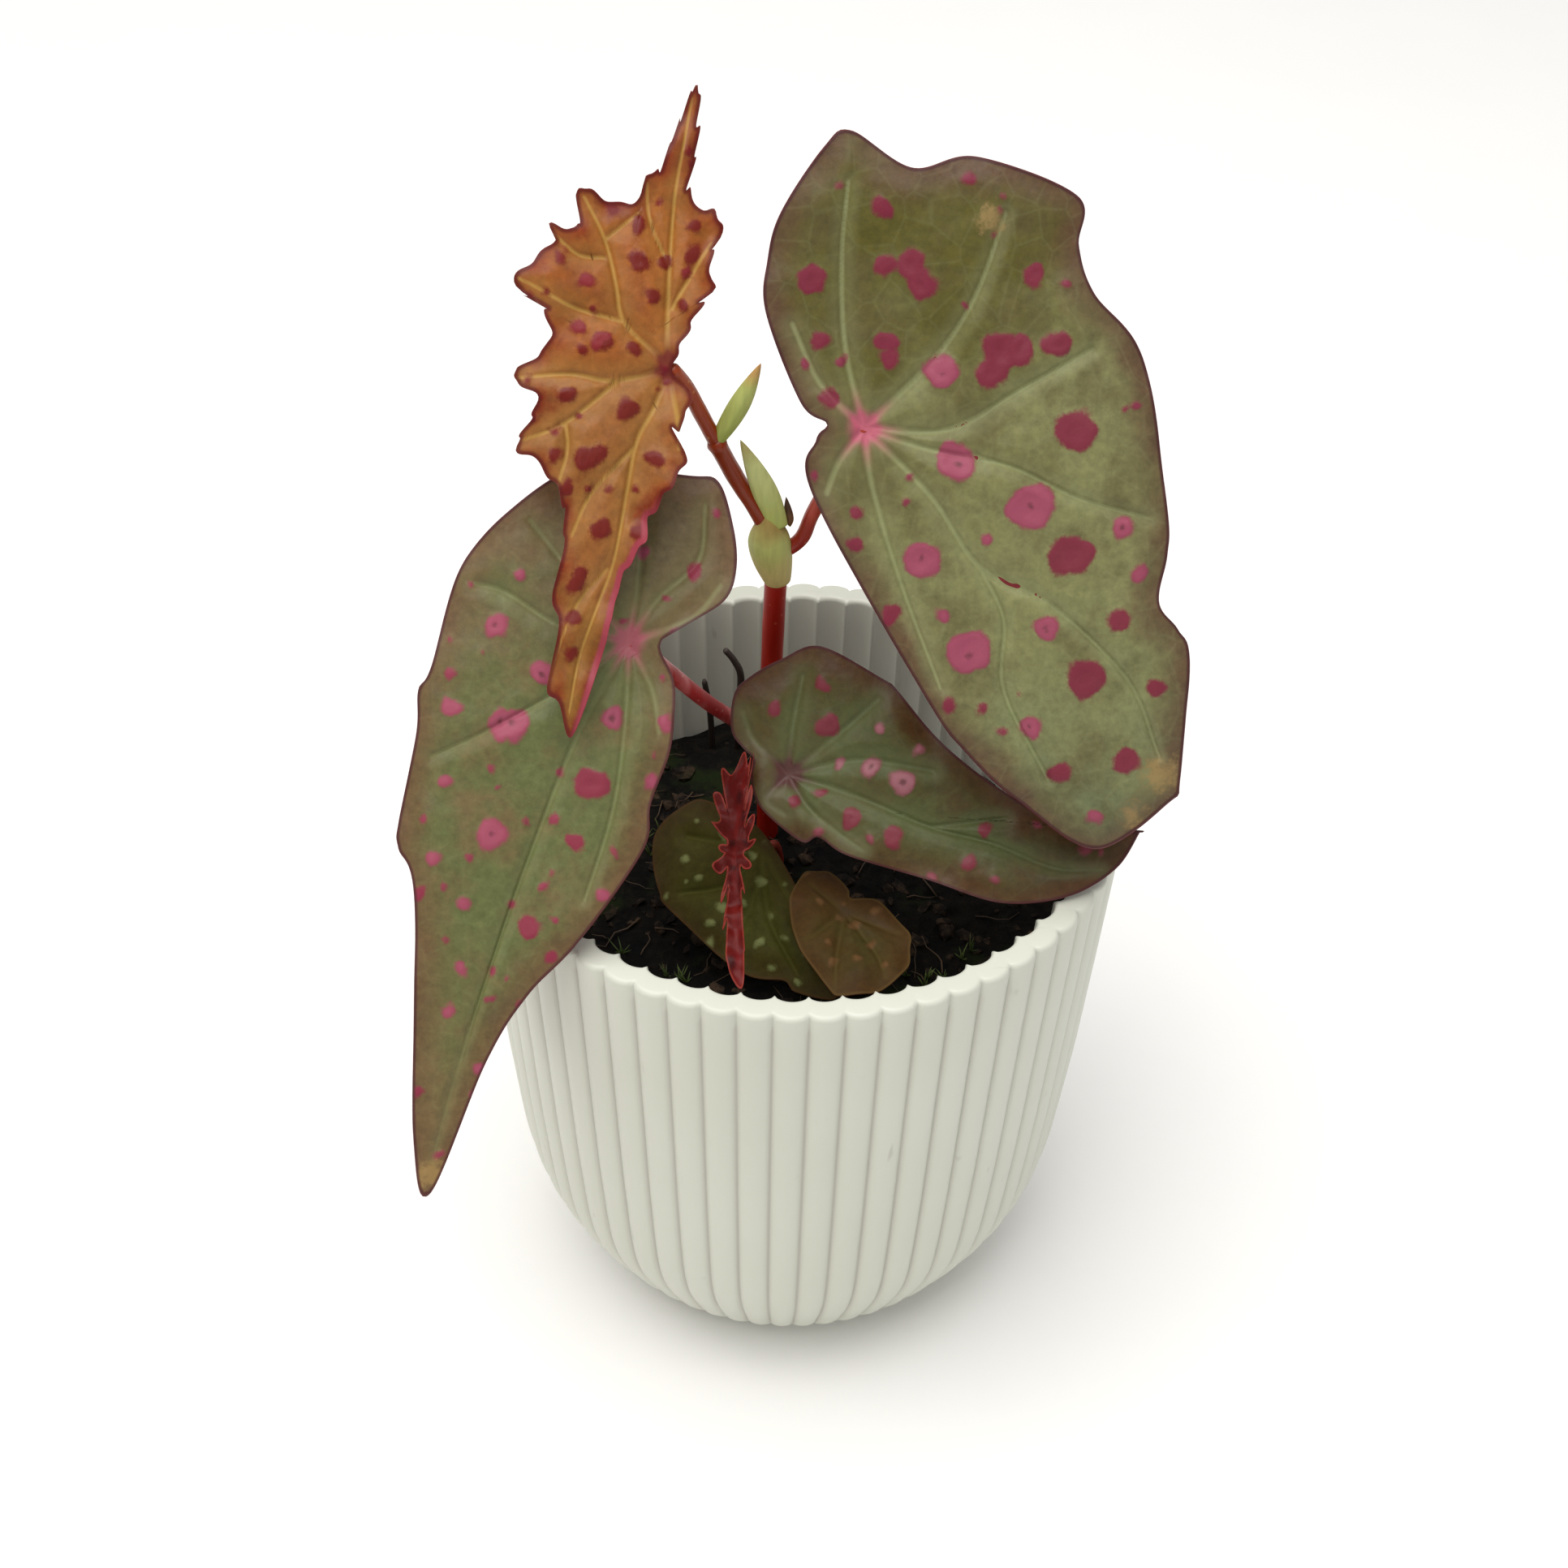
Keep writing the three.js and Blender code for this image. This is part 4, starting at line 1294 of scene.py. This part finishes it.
ORANGE_LEAF = Blade(
    node="leaf_orange_young", slot="leaf_orange",
    petiole=(-16.4, 3, 144), tip=(-26.7, -24, 110.2), faces=(0.08, -0.79, 0.61), hub=(0, -6),
    droop=(52, 2, 4), folds=(0.1, 0.9), cup=0.15, freckles=18,
    curled_from=14.0,
    margin=(
        (44.5, 0), (34.5, 1), (25.5, 1), (20.5, 2.5), (17.5, 2.5), (11.5, 4.5), (9.5, 4.5),
        (7, 3), (5, 3.5), (2, 3), (0, 0.5), (-8, 2), (-10, 3), (-11, 2), (-14.5, 1.5),
        (-16.5, 2), (-19, 0.5), (-18.5, -1), (-20.5, -3), (-26.5, -3.5), (-32.5, -5.5),
        (-22, -7), (-20.5, -8.5), (-18, -8.5), (-16.5, -11), (-17, -15.5), (-12.5, -14.5),
        (-12, -17.5), (-10, -17), (-5, -20), (-3.5, -19), (-2.5, -16), (1.5, -14.5), (6, -17.5),
        (8, -14), (14, -15), (14.5, -12.5), (18, -8.5), (20.5, -7.5), (24, -6.5), (29.5, -6.4),
        (31.5, -5), (35, -4.5), (40, -4.2), (41, -2.5),
    ),
    pale_spots=((-7, -12, 1), (-0.5, -8.5, 1.2), (-1.5, -11.5, 0.9), (-11, -0.8, 0.8)),
    spots=(
        (-10.5, -6.5, 1.3), (-11.5, -4, 1), (-14.5, -8, 1), (-16.5, -1.5, 0.9), (-13, -1, 1),
        (-7, -4, 1), (-7, -0.5, 0.9), (-15.5, -11, 0.8), (-0.3, -8, 1),
        (1, -10.5, 0.8), (-1, -4.5, 0.9), (6.5, -10.5, 1), (6, -3.5, 1.4),
        (13, -6.5, 1.6), (12, -5.5, 1.3), (11, 1, 1.1), (13.5, -10, 0.9), (16.5, -8, 1),
        (20.5, -3, 1.4), (26, -4, 1.2), (27.5, -4, 1.2), (31, -3.5, 1.2), (35.5, -2.5, 0.9),
        (19.5, 1.5, 1), (21, 2, 0.9),
    ),
    veins=(
        ((0, 0), (-2.5, -1), (-11, -3), (-19, -4.5), (-24.5, -5), (-30.5, -5.5)),
        ((0, 0), (5, -0.5), (9.5, -1.5), (16.5, -1), (23.5, -0.5), (29, -1), (35.5, -1.5), (42, -1)),
        ((0, 0), (-1, -2), (-3.5, -6.5), (-7.5, -8.5), (-12, -11), (-16, -14.5)),
        ((-3.5, -6.5), (-3.5, -12.5), (-4.5, -17), (-5, -19.5)),
        ((-10, -10.5), (-9.5, -13.5), (-11, -17)),
        ((0, 0), (2, -3), (3.5, -6.5), (4, -11), (6, -16.5)),
        ((3.5, -5.5), (9.5, -10), (13, -14.5)),
        ((9.5, -10), (12.5, -9), (17, -9)),
        ((10, -1.5), (16.5, -5), (22, -6)),
        ((24.5, -1), (30, -3.5), (40, -4.5)),
        ((-11, -3), (-15.5, -6.5), (-19.5, -8)),
        ((-6.5, -1.5), (-12, 0), (-15, 1)),
        ((0, 0), (1.5, 0.5), (6, 2.5), (9, 3.5)),
        ((-12, -11), (-14, -9.5), (-16, -8)),
    ),
    ruffle=0.55, ruffle_pitch=8.0, pucker=0.4, star_radius=2.4, spokes=560, rings=64,
    vein_reach=26, tooth=0.6, tooth_pitch=3.4,
)
RED_LEAF = Blade(
    node="leaf_red_narrow", slot="leaf_red",
    petiole=(-8, -25, 85.4), tip=(-6.1, -36, 80.8), faces=(-0.04, -0.4, 0.92), hub=(-6, 1.5),
    droop=(14, 0.5, -1.5), folds=(0.25, 0.55), cup=0.0, freckles=5,
    margin=(
        (12, 0), (7, 1), (3, 1.3), (0, 1.9), (-2, 2.1), (-3.5, 3.3), (-5, 3.2), (-7, 4.5),
        (-8.5, 4.8), (-10.5, 4.2), (-12.5, 4.8), (-14, 4.4), (-16.5, 5.2), (-18.5, 5.5),
        (-17.5, 4), (-17, 2.2), (-16.5, 1), (-14.5, 0.6), (-13.5, -0.4), (-12, -0.6),
        (-10.5, -1.2), (-8.5, -0.2), (-6.5, -0.8), (-4.5, -2), (-3, -1), (0, -1.2), (8.5, -1.4),
    ),
    spots=((-9.5, 3, 0.6), (-7, 1.5, 0.5), (-7, 3, 0.5), (-12.5, 3, 0.5)),
    veins=(((-17, 4.6), (-10.5, 2.4), (-4.5, 1.1), (3, 0.2), (11, 0)),),
    ruffle=0.35, ruffle_pitch=3.2, pucker=0.15, vein_depth=0.15, vein_reach=60,
    star_radius=0.8, spokes=400, rings=36, tooth=2.0, tooth_pitch=3.6,
)
GREEN_LEAFLET = Blade(
    node="leaflet_green", slot="leaf_dark",
    petiole=(-3.8, -6, 76.9), tip=(3.8, -24, 67.4), faces=(-0.1, -0.49, 0.86), hub=(4, -6),
    droop=(30, 2, 1), folds=(0.06, 0.06), cup=0.3, freckles=18,
    margin=(
        (22.5, 1.5), (19.5, 2.5), (15, 2.5), (2.5, 1), (-3.5, -1), (-8, -5), (-9, -8), (-7, -13),
        (-3, -15), (1.5, -15.5), (4, -15), (15, -9), (18, -4), (20, -3),
    ),
    spots=((-1.5, -11, 0.6), (4.5, -2.5, 0.6), (12.5, -5, 0.6), (8, -10.5, 0.6), (16, 0, 0.5)),
    veins=(
        ((0, -1), (-1.5, -4.5), (-4.5, -9.5)),
        ((0, -1), (3.5, -6.5), (2.5, -13)),
        ((0, -1), (9.5, -3), (18, -2)),
        ((5, -3), (8.5, -6), (12, -9)),
        ((0, -1), (9.5, 0.5), (17, 1.5)),
    ),
    star_radius=0.9, ruffle=0.3, ruffle_pitch=9.0, spokes=280, rings=40,
)
BROWN_LEAFLET = Blade(
    node="leaflet_brown", slot="leaf_dark",
    petiole=(6.4, -18, 76.9), tip=(4.7, -32, 75.5), faces=(0.07, -0.1, 0.99), hub=(3.5, 1),
    droop=(20, 2, 1), folds=(0.08, 0.08), cup=0.5, freckles=9,
    margin=(
        (13, 1.5), (11.5, 6), (7.5, 9), (4.5, 9), (2, 8.5), (-2, 4.5), (-2.5, 2.5), (-2, 0.5),
        (-3.5, 0), (-6, -2.5), (-5.5, -4.5), (-4.5, -6), (-1.5, -7), (1, -7), (7, -5),
        (12, -0.5),
    ),
    spots=((4.5, 4, 0.5), (8, 2.5, 0.5), (7.5, 6.5, 0.5), (5.5, -1.5, 0.5)),
    veins=(
        ((0, 0), (-2, -3.5), (-3, -5)),
        ((0, 0), (4.5, -3), (6, -4.5)),
        ((0, 0), (7.5, 0), (12.5, 0.5)),
        ((0, 0), (5.5, 4.5), (9.5, 6.5)),
        ((0, 0), (1.5, 4.5), (2.5, 7.5)),
    ),
    star_radius=0.9, ruffle=0.25, ruffle_pitch=7.0, spokes=260, rings=36,
)

OLIVE_SKIN = LeafFinish(
    "leaf_skin_sage", lobe="#504a1a", middle="#74744a", tip="#626a4a", bronze="#533a28",
    rim="#3c141a", vein="#989e70", spot="#6a0c2a", pale_spot="#94405a", star="#b4506c",
    under="#6e1f24", shade="#4f4526", dry="#8c7448", vein_strength=0.38,
)
LEFT_SKIN = LeafFinish(
    "leaf_skin_olive", lobe="#64563a", middle="#5a5f36", tip="#6c5e38", bronze="#62482e",
    rim="#441a20", vein="#848a5c", spot="#7c1c36", pale_spot="#9a465e", star="#a85464",
    under="#6e1f24", shade="#6c5236", dry="#947848", vein_strength=0.34,
)
LOWER_SKIN = LeafFinish(
    "leaf_skin_bronze", lobe="#483c14", middle="#474a24", tip="#3a381a", bronze="#4c2e16",
    rim="#40161a", vein="#64704a", spot="#6e142a", pale_spot="#98606a", star="#52282e",
    under="#5c1a1c", shade="#4a3216", dry="#5a3018", vein_strength=0.26, vein_glow=0.3,
)
ORANGE_SKIN = LeafFinish(
    "leaf_skin_orange", lobe="#8c4c1a", middle="#8a5628", tip="#6a4206", bronze="#6e1a04",
    rim="#520a06", vein="#aa8640", spot="#5e0503", pale_spot="#7a1a28", star="#64041a",
    under="#8c3440", shade="#6e380c", dry="#6c5638", bronze_width=1.8, rim_width=0.3,
    vein_width=0.32, vein_strength=0.6, vein_glow=0.16, roughness=0.44, gloss=0.3,
)
RED_SKIN = LeafFinish(
    "leaf_skin_red", lobe="#4c0604", middle="#500705", tip="#7a2430", bronze="#560a05",
    rim="#843228", vein="#641410", spot="#320403", pale_spot="#420808", star="#500705",
    under="#7a2430", shade="#420503", bronze_width=0.3, rim_width=0.12, vein_width=0.3,
    roughness=0.46, gloss=0.2,
)
GREEN_SKIN = LeafFinish(
    "leaf_skin_dark_green", lobe="#423e14", middle="#444416", tip="#403a12", bronze="#3e3010",
    rim="#483216", vein="#585a24", spot="#7c8250", pale_spot="#7c8250", star="#4c3c20",
    under="#48201a", shade="#362e0e", vein_strength=0.3, gloss=0.15, roughness=0.6,
)
BROWN_SKIN = LeafFinish(
    "leaf_skin_brown", lobe="#3e2a0e", middle="#383010", tip="#342a0c", bronze="#40280e",
    rim="#4c3818", vein="#4a3e1a", spot="#583820", pale_spot="#5e4c28", star="#40301a",
    under="#48201a", shade="#42260c", vein_strength=0.3, gloss=0.15, roughness=0.6,
)
LEAVES = (
    Leaf(LARGE_LEAF, OLIVE_SKIN), Leaf(LEFT_LEAF, LEFT_SKIN), Leaf(LOWER_LEAF, LOWER_SKIN),
    Leaf(ORANGE_LEAF, ORANGE_SKIN), Leaf(RED_LEAF, RED_SKIN), Leaf(GREEN_LEAFLET, GREEN_SKIN),
    Leaf(BROWN_LEAFLET, BROWN_SKIN),
)


@dataclass(frozen=True)
class Growth:
    """The canes, petioles, stipules and dead twigs, in millimetres."""

    petiole_gap: float = 0.75

    def leaf_joint(self, blade: Blade) -> Point:
        """Where a petiole ends under its blade."""
        _, _, w = blade.axes()
        joint = np.array(blade.petiole) + w * (blade.height(np.zeros((1, 2)))[0] - self.petiole_gap)
        return tuple(joint)

    def stalks(self) -> list[Stalk]:
        """Lay out every cane, petiole and twig.

        Returns:
            The stalks.
        """
        cane = FleshFinish("fleshy_cane_red", "#981508", "#ae2812", "#b85c40").make()
        young = FleshFinish("fleshy_cane_orange", "#842c02", "#9a3e06", "#b47a3c").make()
        red = FleshFinish("fleshy_petiole_red", "#8e2a1e", "#b04a38", "#d08a70").make()
        pink = FleshFinish("fleshy_petiole_pink", "#a02c2c", "#cc7a78", "#e0b0a8").make()
        wood = PaperyFinish("dead_twig", "#1c1612", "#2e2520", "#3a302a", 60, 82).make()
        ends = {leaf.blade.node: self.leaf_joint(leaf.blade) for leaf in LEAVES}
        rise, taper, even = Relief.SWOLLEN, Relief.TAPERED, Relief.EVEN
        return [
            Stalk("main_cane", "red_cane",
                  [(-4.2, 10.5, 50), (-4.1, 10.2, 82.8), (-3.9, 9.8, 99), (-3.6, 9.3, 111.8)],
                  1.5, rise, cane),
            Stalk("upper_cane", "young_cane",
                  [(-4.1, 8.7, 113), (-5.6, 8.2, 119.1), (-8.7, 8, 125), (-11.4, 6.9, 131.5)],
                  1.15, rise, young),
            Stalk("petiole_large_leaf", "petiole",
                  [(-3.4, 9.2, 112.8), (-0.6, 9, 115.6), (0.9, 8.4, 120.3), (4.3, 6.5, 129.3),
                   ends["leaf_large_right"]], 0.95, even, red),
            Stalk("petiole_orange_leaf", "petiole",
                  [(-11, 7.1, 130.5), (-13.1, 6.3, 135.7), (-14.7, 5.3, 139.9),
                   ends["leaf_orange_young"]], 0.95, even, young),
            Stalk("petiole_left_leaf", "petiole",
                  [(-4.1, 10, 81), (-9.1, 4, 90), (-12.7, 0, 96.5), (-18.3, -6.5, 108),
                   ends["leaf_left"]], 1.0, even, pink),
            Stalk("petiole_lower_leaf", "petiole",
                  [(-4.1, 10, 71), (-3, 5, 78), (-1.7, -4, 87), ends["leaf_lower_right"]],
                  0.9, even, red),
            Stalk("petiole_red_leaf", "petiole",
                  [(-9, 2.5, 56), (-9.4, 3.2, 74), (-9.2, -1, 83), (-8.4, -13, 87.5),
                   ends["leaf_red_narrow"]], 0.6, taper, red),
            Stalk("petiole_green_leaflet", "petiole",
                  [(-1.5, 6, 56), (-2.6, 1.5, 69), ends["leaflet_green"]], 0.6, taper, red),
            Stalk("petiole_brown_leaflet", "petiole",
                  [(9.5, -6, 56), (8.2, -12, 70), ends["leaflet_brown"]], 0.6, taper, red),
            Stalk("dry_twig_tall", "dry_twig",
                  [(-9, 29, 56), (-8.9, 28.3, 70), (-8.6, 28, 77.1), (-9.5, 28, 80),
                   (-10.9, 28, 82.1)], 0.5, taper, wood),
            Stalk("dry_twig_short", "dry_twig",
                  [(-12.6, 30, 56), (-13, 30, 68), (-13.9, 30, 74.8)], 0.45, taper, wood),
        ]

    def stipules(self) -> list[Stipule]:
        """Lay out the sheath, stipules and bract.

        Returns:
            The stipules.
        """
        sheath = PaperyFinish("papery_sheath", "#c2b070", "#b4b868", "#a08a4c", 111, 121).make()
        blade = PaperyFinish("papery_stipule", "#aeb860", "#c2ca84", "#a89a5c", 119, 134).make()
        bud = PaperyFinish("papery_bud", "#98a24c", "#acb464", "#b07a48", 132, 145).make()
        bract = PaperyFinish("papery_bract", "#7a5a30", "#6b4a2a", "#4a3220", 117, 123).make()
        return [
            # The sheath starts lower than the frame's, so that it wraps the end of the main cane.
            Stipule("node_sheath", (-3.4, 9.2, 108.6), (-4.9, 7.6, 120.4), 2.5, 0.6, 0.9, -0.3,
                    sheath, foot=1.6),
            Stipule("lower_stipule", (-3.3, 7.6, 118.0), (-8.3, 7.4, 131.2), 1.5, 0.35, 0.5, 0.2,
                    blade, foot=1.1),
            Stipule("bract_tip", (-2, 8.6, 117.6), (-2.6, 8.3, 122.4), 0.55, 0.3, 0.7, 0.0, bract),
            Stipule("upper_stipule_bud", (-11.3, 6.8, 130.9), (-5.9, 6.6, 142.6), 1.2, 0.45, 0.7,
                    0.2, bud, foot=0.7),
        ]

    def build(self) -> list[bpy.types.Object]:
        """Model every stalk and stipule.

        Returns:
            Their pieces.
        """
        return [piece.build() for piece in self.stalks() + self.stipules()]


@dataclass(frozen=True)
class Softbox:
    """A square soft light: where it hangs and what it aims at, in metres."""

    name: str
    place: Point
    aim: Point
    side: float
    power: float
    colour: str = "#ffffff"

    def build(self) -> None:
        """Hang the light."""
        light = bpy.data.lights.new(self.name, "AREA")
        light.size = self.side
        light.energy = self.power
        light.color = linear(self.colour)[:3]
        lamp = bpy.data.objects.new(self.name, light)
        lamp.location = self.place
        heading = Vector(self.aim) - Vector(self.place)
        lamp.rotation_euler = heading.to_track_quat("-Z", "Y").to_euler()
        bpy.context.scene.collection.objects.link(lamp)


@dataclass
class Studio:
    """The pale floor, the soft lights and the camera."""

    eye: Point = (0.0, -0.2444, 0.3010)
    yaw: float = -0.44
    pitch: float = 41.84
    roll: float = 1.48
    lens: float = 57.1
    floor_side: float = 8.0
    sky: float = 0.45
    lights: tuple[Softbox, ...] = (
        Softbox("overhead_softbox", (-0.15, -0.1, 0.95), (0.0, 0.0, 0.08), 0.9, 10.5, "#fffefc"),
        Softbox("front_left_softbox", (-0.7, -0.9, 0.5), (0.0, 0.0, 0.07), 0.8, 1.1, "#fff4e6"),
        Softbox("front_right_softbox", (0.8, -0.7, 0.45), (0.0, 0.0, 0.07), 0.8, 0.8, "#fafcff"),
    )

    def floor(self) -> None:
        """Lay the floor."""
        bm = bmesh.new()
        bmesh.ops.create_grid(bm, x_segments=1, y_segments=1, size=self.floor_side / 2)
        mesh = bpy.data.meshes.new("pale_floor")
        bm.to_mesh(mesh)
        bm.free()
        r = Recipe("matt_white_board", Roughness=0.9, Specular_IOR_Level=0.1)
        place = r.add("TexCoord", {}, {}).outputs["Object"]
        fleck = r.add("TexNoise", {}, {"Vector": place, "Scale": 30.0, "Detail": 3.0})
        white = r.add("Mix", {"data_type": "RGBA"},
                      {0: fleck.outputs["Fac"], MIX_A: linear("#f4f3f1"),
                       MIX_B: linear("#f7f6f4")})
        r.feed("Base Color", white.outputs[MIX_OUT])
        mesh.materials.append(r.material)
        board = bpy.data.objects.new("pale_floor", mesh)
        bpy.context.scene.collection.objects.link(board)
        board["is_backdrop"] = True

    def camera(self) -> None:
        """Set the camera at the eye, aimed by its yaw, pitch and roll."""
        yaw, pitch, roll = (math.radians(a) for a in (self.yaw, self.pitch, self.roll))
        ahead = Vector((math.sin(yaw) * math.cos(pitch), math.cos(yaw) * math.cos(pitch),
                        -math.sin(pitch)))
        side = ahead.cross(Vector((0, 0, 1))).normalized()
        above = side.cross(ahead)
        right = math.cos(roll) * side + math.sin(roll) * above
        top = math.cos(roll) * above - math.sin(roll) * side
        camera = bpy.data.cameras.new("camera")
        camera.lens = self.lens
        camera.sensor_width = 36.0
        camera.clip_start = 0.01
        holder = bpy.data.objects.new("camera", camera)
        turn = Matrix((right, top, -ahead)).transposed().to_4x4()
        holder.matrix_world = Matrix.Translation(self.eye) @ turn
        bpy.context.scene.collection.objects.link(holder)
        bpy.context.scene.camera = holder

    def build(self) -> None:
        """Set up the floor, lights, sky and camera."""
        scene = bpy.context.scene
        scene.view_settings.view_transform = "Standard"
        world = bpy.data.worlds.new("white_sky")
        world.use_nodes = True
        sky = world.node_tree.nodes["Background"]
        sky.inputs["Color"].default_value = (1, 1, 1, 1)
        sky.inputs["Strength"].default_value = self.sky
        scene.world = world
        self.floor()
        for light in self.lights:
            light.build()
        self.camera()


def main(cad_box: Sequence[Vector]) -> None:
    """Build the studio and the plant in its pot.

    Args:
        cad_box: The frame's own box; not used.
    """
    logging.basicConfig(level=logging.INFO, format="%(name)s: %(message)s")
    Studio().build()
    pot = Pot()
    pot.build()
    Soil(pot).build()
    Growth().build()
    for leaf in LEAVES:
        leaf.build()
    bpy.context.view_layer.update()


if __name__ == "__main__":
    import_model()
    main(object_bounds())
